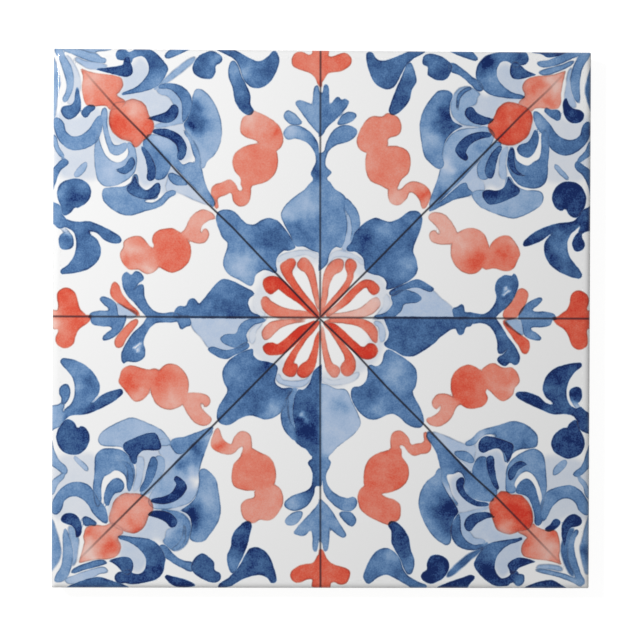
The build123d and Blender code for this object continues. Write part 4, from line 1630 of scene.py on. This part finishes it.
@dataclass(frozen=True)
class Studio:
    """Plain soft studio light, a white floor and the camera above the tile.

    Attributes:
        camera_place: Where the camera stands.
        camera_turn: How it is turned about x, y and z.
        lens: Its focal length.
        sensor: Width of its sensor.
        key_place: Middle of the soft lamp.
        key_side: Side of that lamp.
        key_watts: Its power.
        fill: Brightness of the surroundings, as a light.
        wall_top: How high the white wall all round is seen, as the sine of its angle above the floor.
        wall_fade: The same angle where the wall has faded out.
        floor_side: Side of the floor.
        floor_drop: How far it lies below the tile, so that the two don't share a plane.
        floor_colour: Colour of the floor.
        floor_lift: What the floor shows beyond the light on it, so that it reads as white.
    """

    camera_place: Point = (-7.487, -0.124, 364.976)
    camera_turn: Point = (-0.0726, -1.192, 0.248)
    lens: float = 100.0
    sensor: float = 36.0
    key_place: Point = (-193.0, 118.0, 318.0)
    key_side: float = 50.0
    key_watts: float = 1.09
    fill: float = 0.26
    wall_top: float = 0.22
    wall_fade: float = 0.36
    floor_side: float = 10000.0
    floor_drop: float = 0.1
    floor_colour: str = "#A8A8A8"
    floor_lift: float = 0.885

    def set_camera(self) -> None:
        """Puts the camera where the photograph was taken from."""
        data = bpy.data.cameras.new("camera")
        data.lens, data.sensor_width = self.lens, self.sensor
        camera = bpy.data.objects.new("camera", data)
        camera.location = np.array(self.camera_place) * METRES
        camera.rotation_euler = np.radians(self.camera_turn)
        bpy.context.scene.collection.objects.link(camera)
        bpy.context.scene.camera = camera

    def set_light(self) -> None:
        """Hangs the soft lamp, aimed at the tile, and sets the surroundings.

        The surroundings light the tile evenly. Low down they are seen as a white wall all round.
        """
        data = bpy.data.lights.new("key", "AREA")
        data.shape, data.size = "SQUARE", self.key_side * METRES
        data.energy = self.key_watts
        lamp = bpy.data.objects.new("key", data)
        lamp.location = np.array(self.key_place) * METRES
        lamp.rotation_euler = (-lamp.location).to_track_quat("-Z", "Y").to_euler()
        bpy.context.scene.collection.objects.link(lamp)
        world = bpy.data.worlds.new("surroundings")
        world.use_nodes = True
        tree = world.node_tree
        add = partial(add_node, tree)
        back = tree.nodes["Background"]
        direction = add("TexCoord", {})["Generated"]
        up = add("SeparateXYZ", {0: direction})["Z"]
        wall = add("MapRange", {0: up, 1: self.wall_top, 2: self.wall_fade, 3: 1.0, 4: self.fill})[0]
        strength = add("MapRange", {0: seen_rays(add), 1: 0.0, 2: 1.0, 3: self.fill, 4: wall})[0]
        tree.links.new(strength, back.inputs["Strength"])
        back.inputs["Color"].default_value = WHITE
        bpy.context.scene.world = world
        bpy.context.scene.view_settings.view_transform = "Standard"

    def lay_floor(self) -> bpy.types.Object:
        """Lays the white floor, which keeps the tile's shadow.

        To the camera, and in gloss and glass, it shows its light and a lift, so that it reads as white.

        Returns:
            The floor.
        """
        half = self.floor_side / 2 * METRES
        mesh = bpy.data.meshes.new("floor")
        corners = np.array([[-half, -half, 0], [half, -half, 0], [half, half, 0], [-half, half, 0]])
        mesh.from_pydata((corners - [0, 0, self.floor_drop * METRES]).tolist(), [], [[0, 1, 2, 3]])
        material = bpy.data.materials.new("white_studio_floor")
        material.use_nodes = True
        tree = material.node_tree
        add = partial(add_node, tree)
        shader = tree.nodes["Principled BSDF"]
        lift = add("Math", {0: seen_rays(add), 1: self.floor_lift}, operation="MULTIPLY")[0]
        tree.links.new(lift, shader.inputs["Emission Strength"])
        shader.inputs["Emission Color"].default_value = WHITE
        shader.inputs["Base Color"].default_value = linear(self.floor_colour)
        shader.inputs["Roughness"].default_value = 1.0
        shader.inputs["Specular IOR Level"].default_value = 0.0
        mesh.materials.append(material)
        floor = bpy.data.objects.new("floor", mesh)
        bpy.context.scene.collection.objects.link(floor)
        return floor


def main() -> None:
    """Builds the studio and the tile, at the size of its solid."""
    logging.basicConfig(level=logging.INFO, format="%(name)s: %(message)s")
    low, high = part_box(NODE)
    side = (high[0] - low[0]) / METRES
    thickness = (high[2] - low[2]) / METRES

    studio = Studio()
    studio.set_camera()
    studio.set_light()
    studio.lay_floor()
    LOG.info("studio: camera, soft lamp and floor are set")

    ornament = Ornament(QUARTERS, side / 2, UPRIGHT_LINE, LEVEL_LINE, FALLING_LINE, RISING_LINE)
    tile = TalaveraTile(ornament, side, thickness).build()
    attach(tile, "root")
    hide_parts(NODE)
    LOG.info("%s: %d points, %d polygons", tile.name, len(tile.data.vertices), len(tile.data.polygons))


if __name__ == "__main__":
    main()
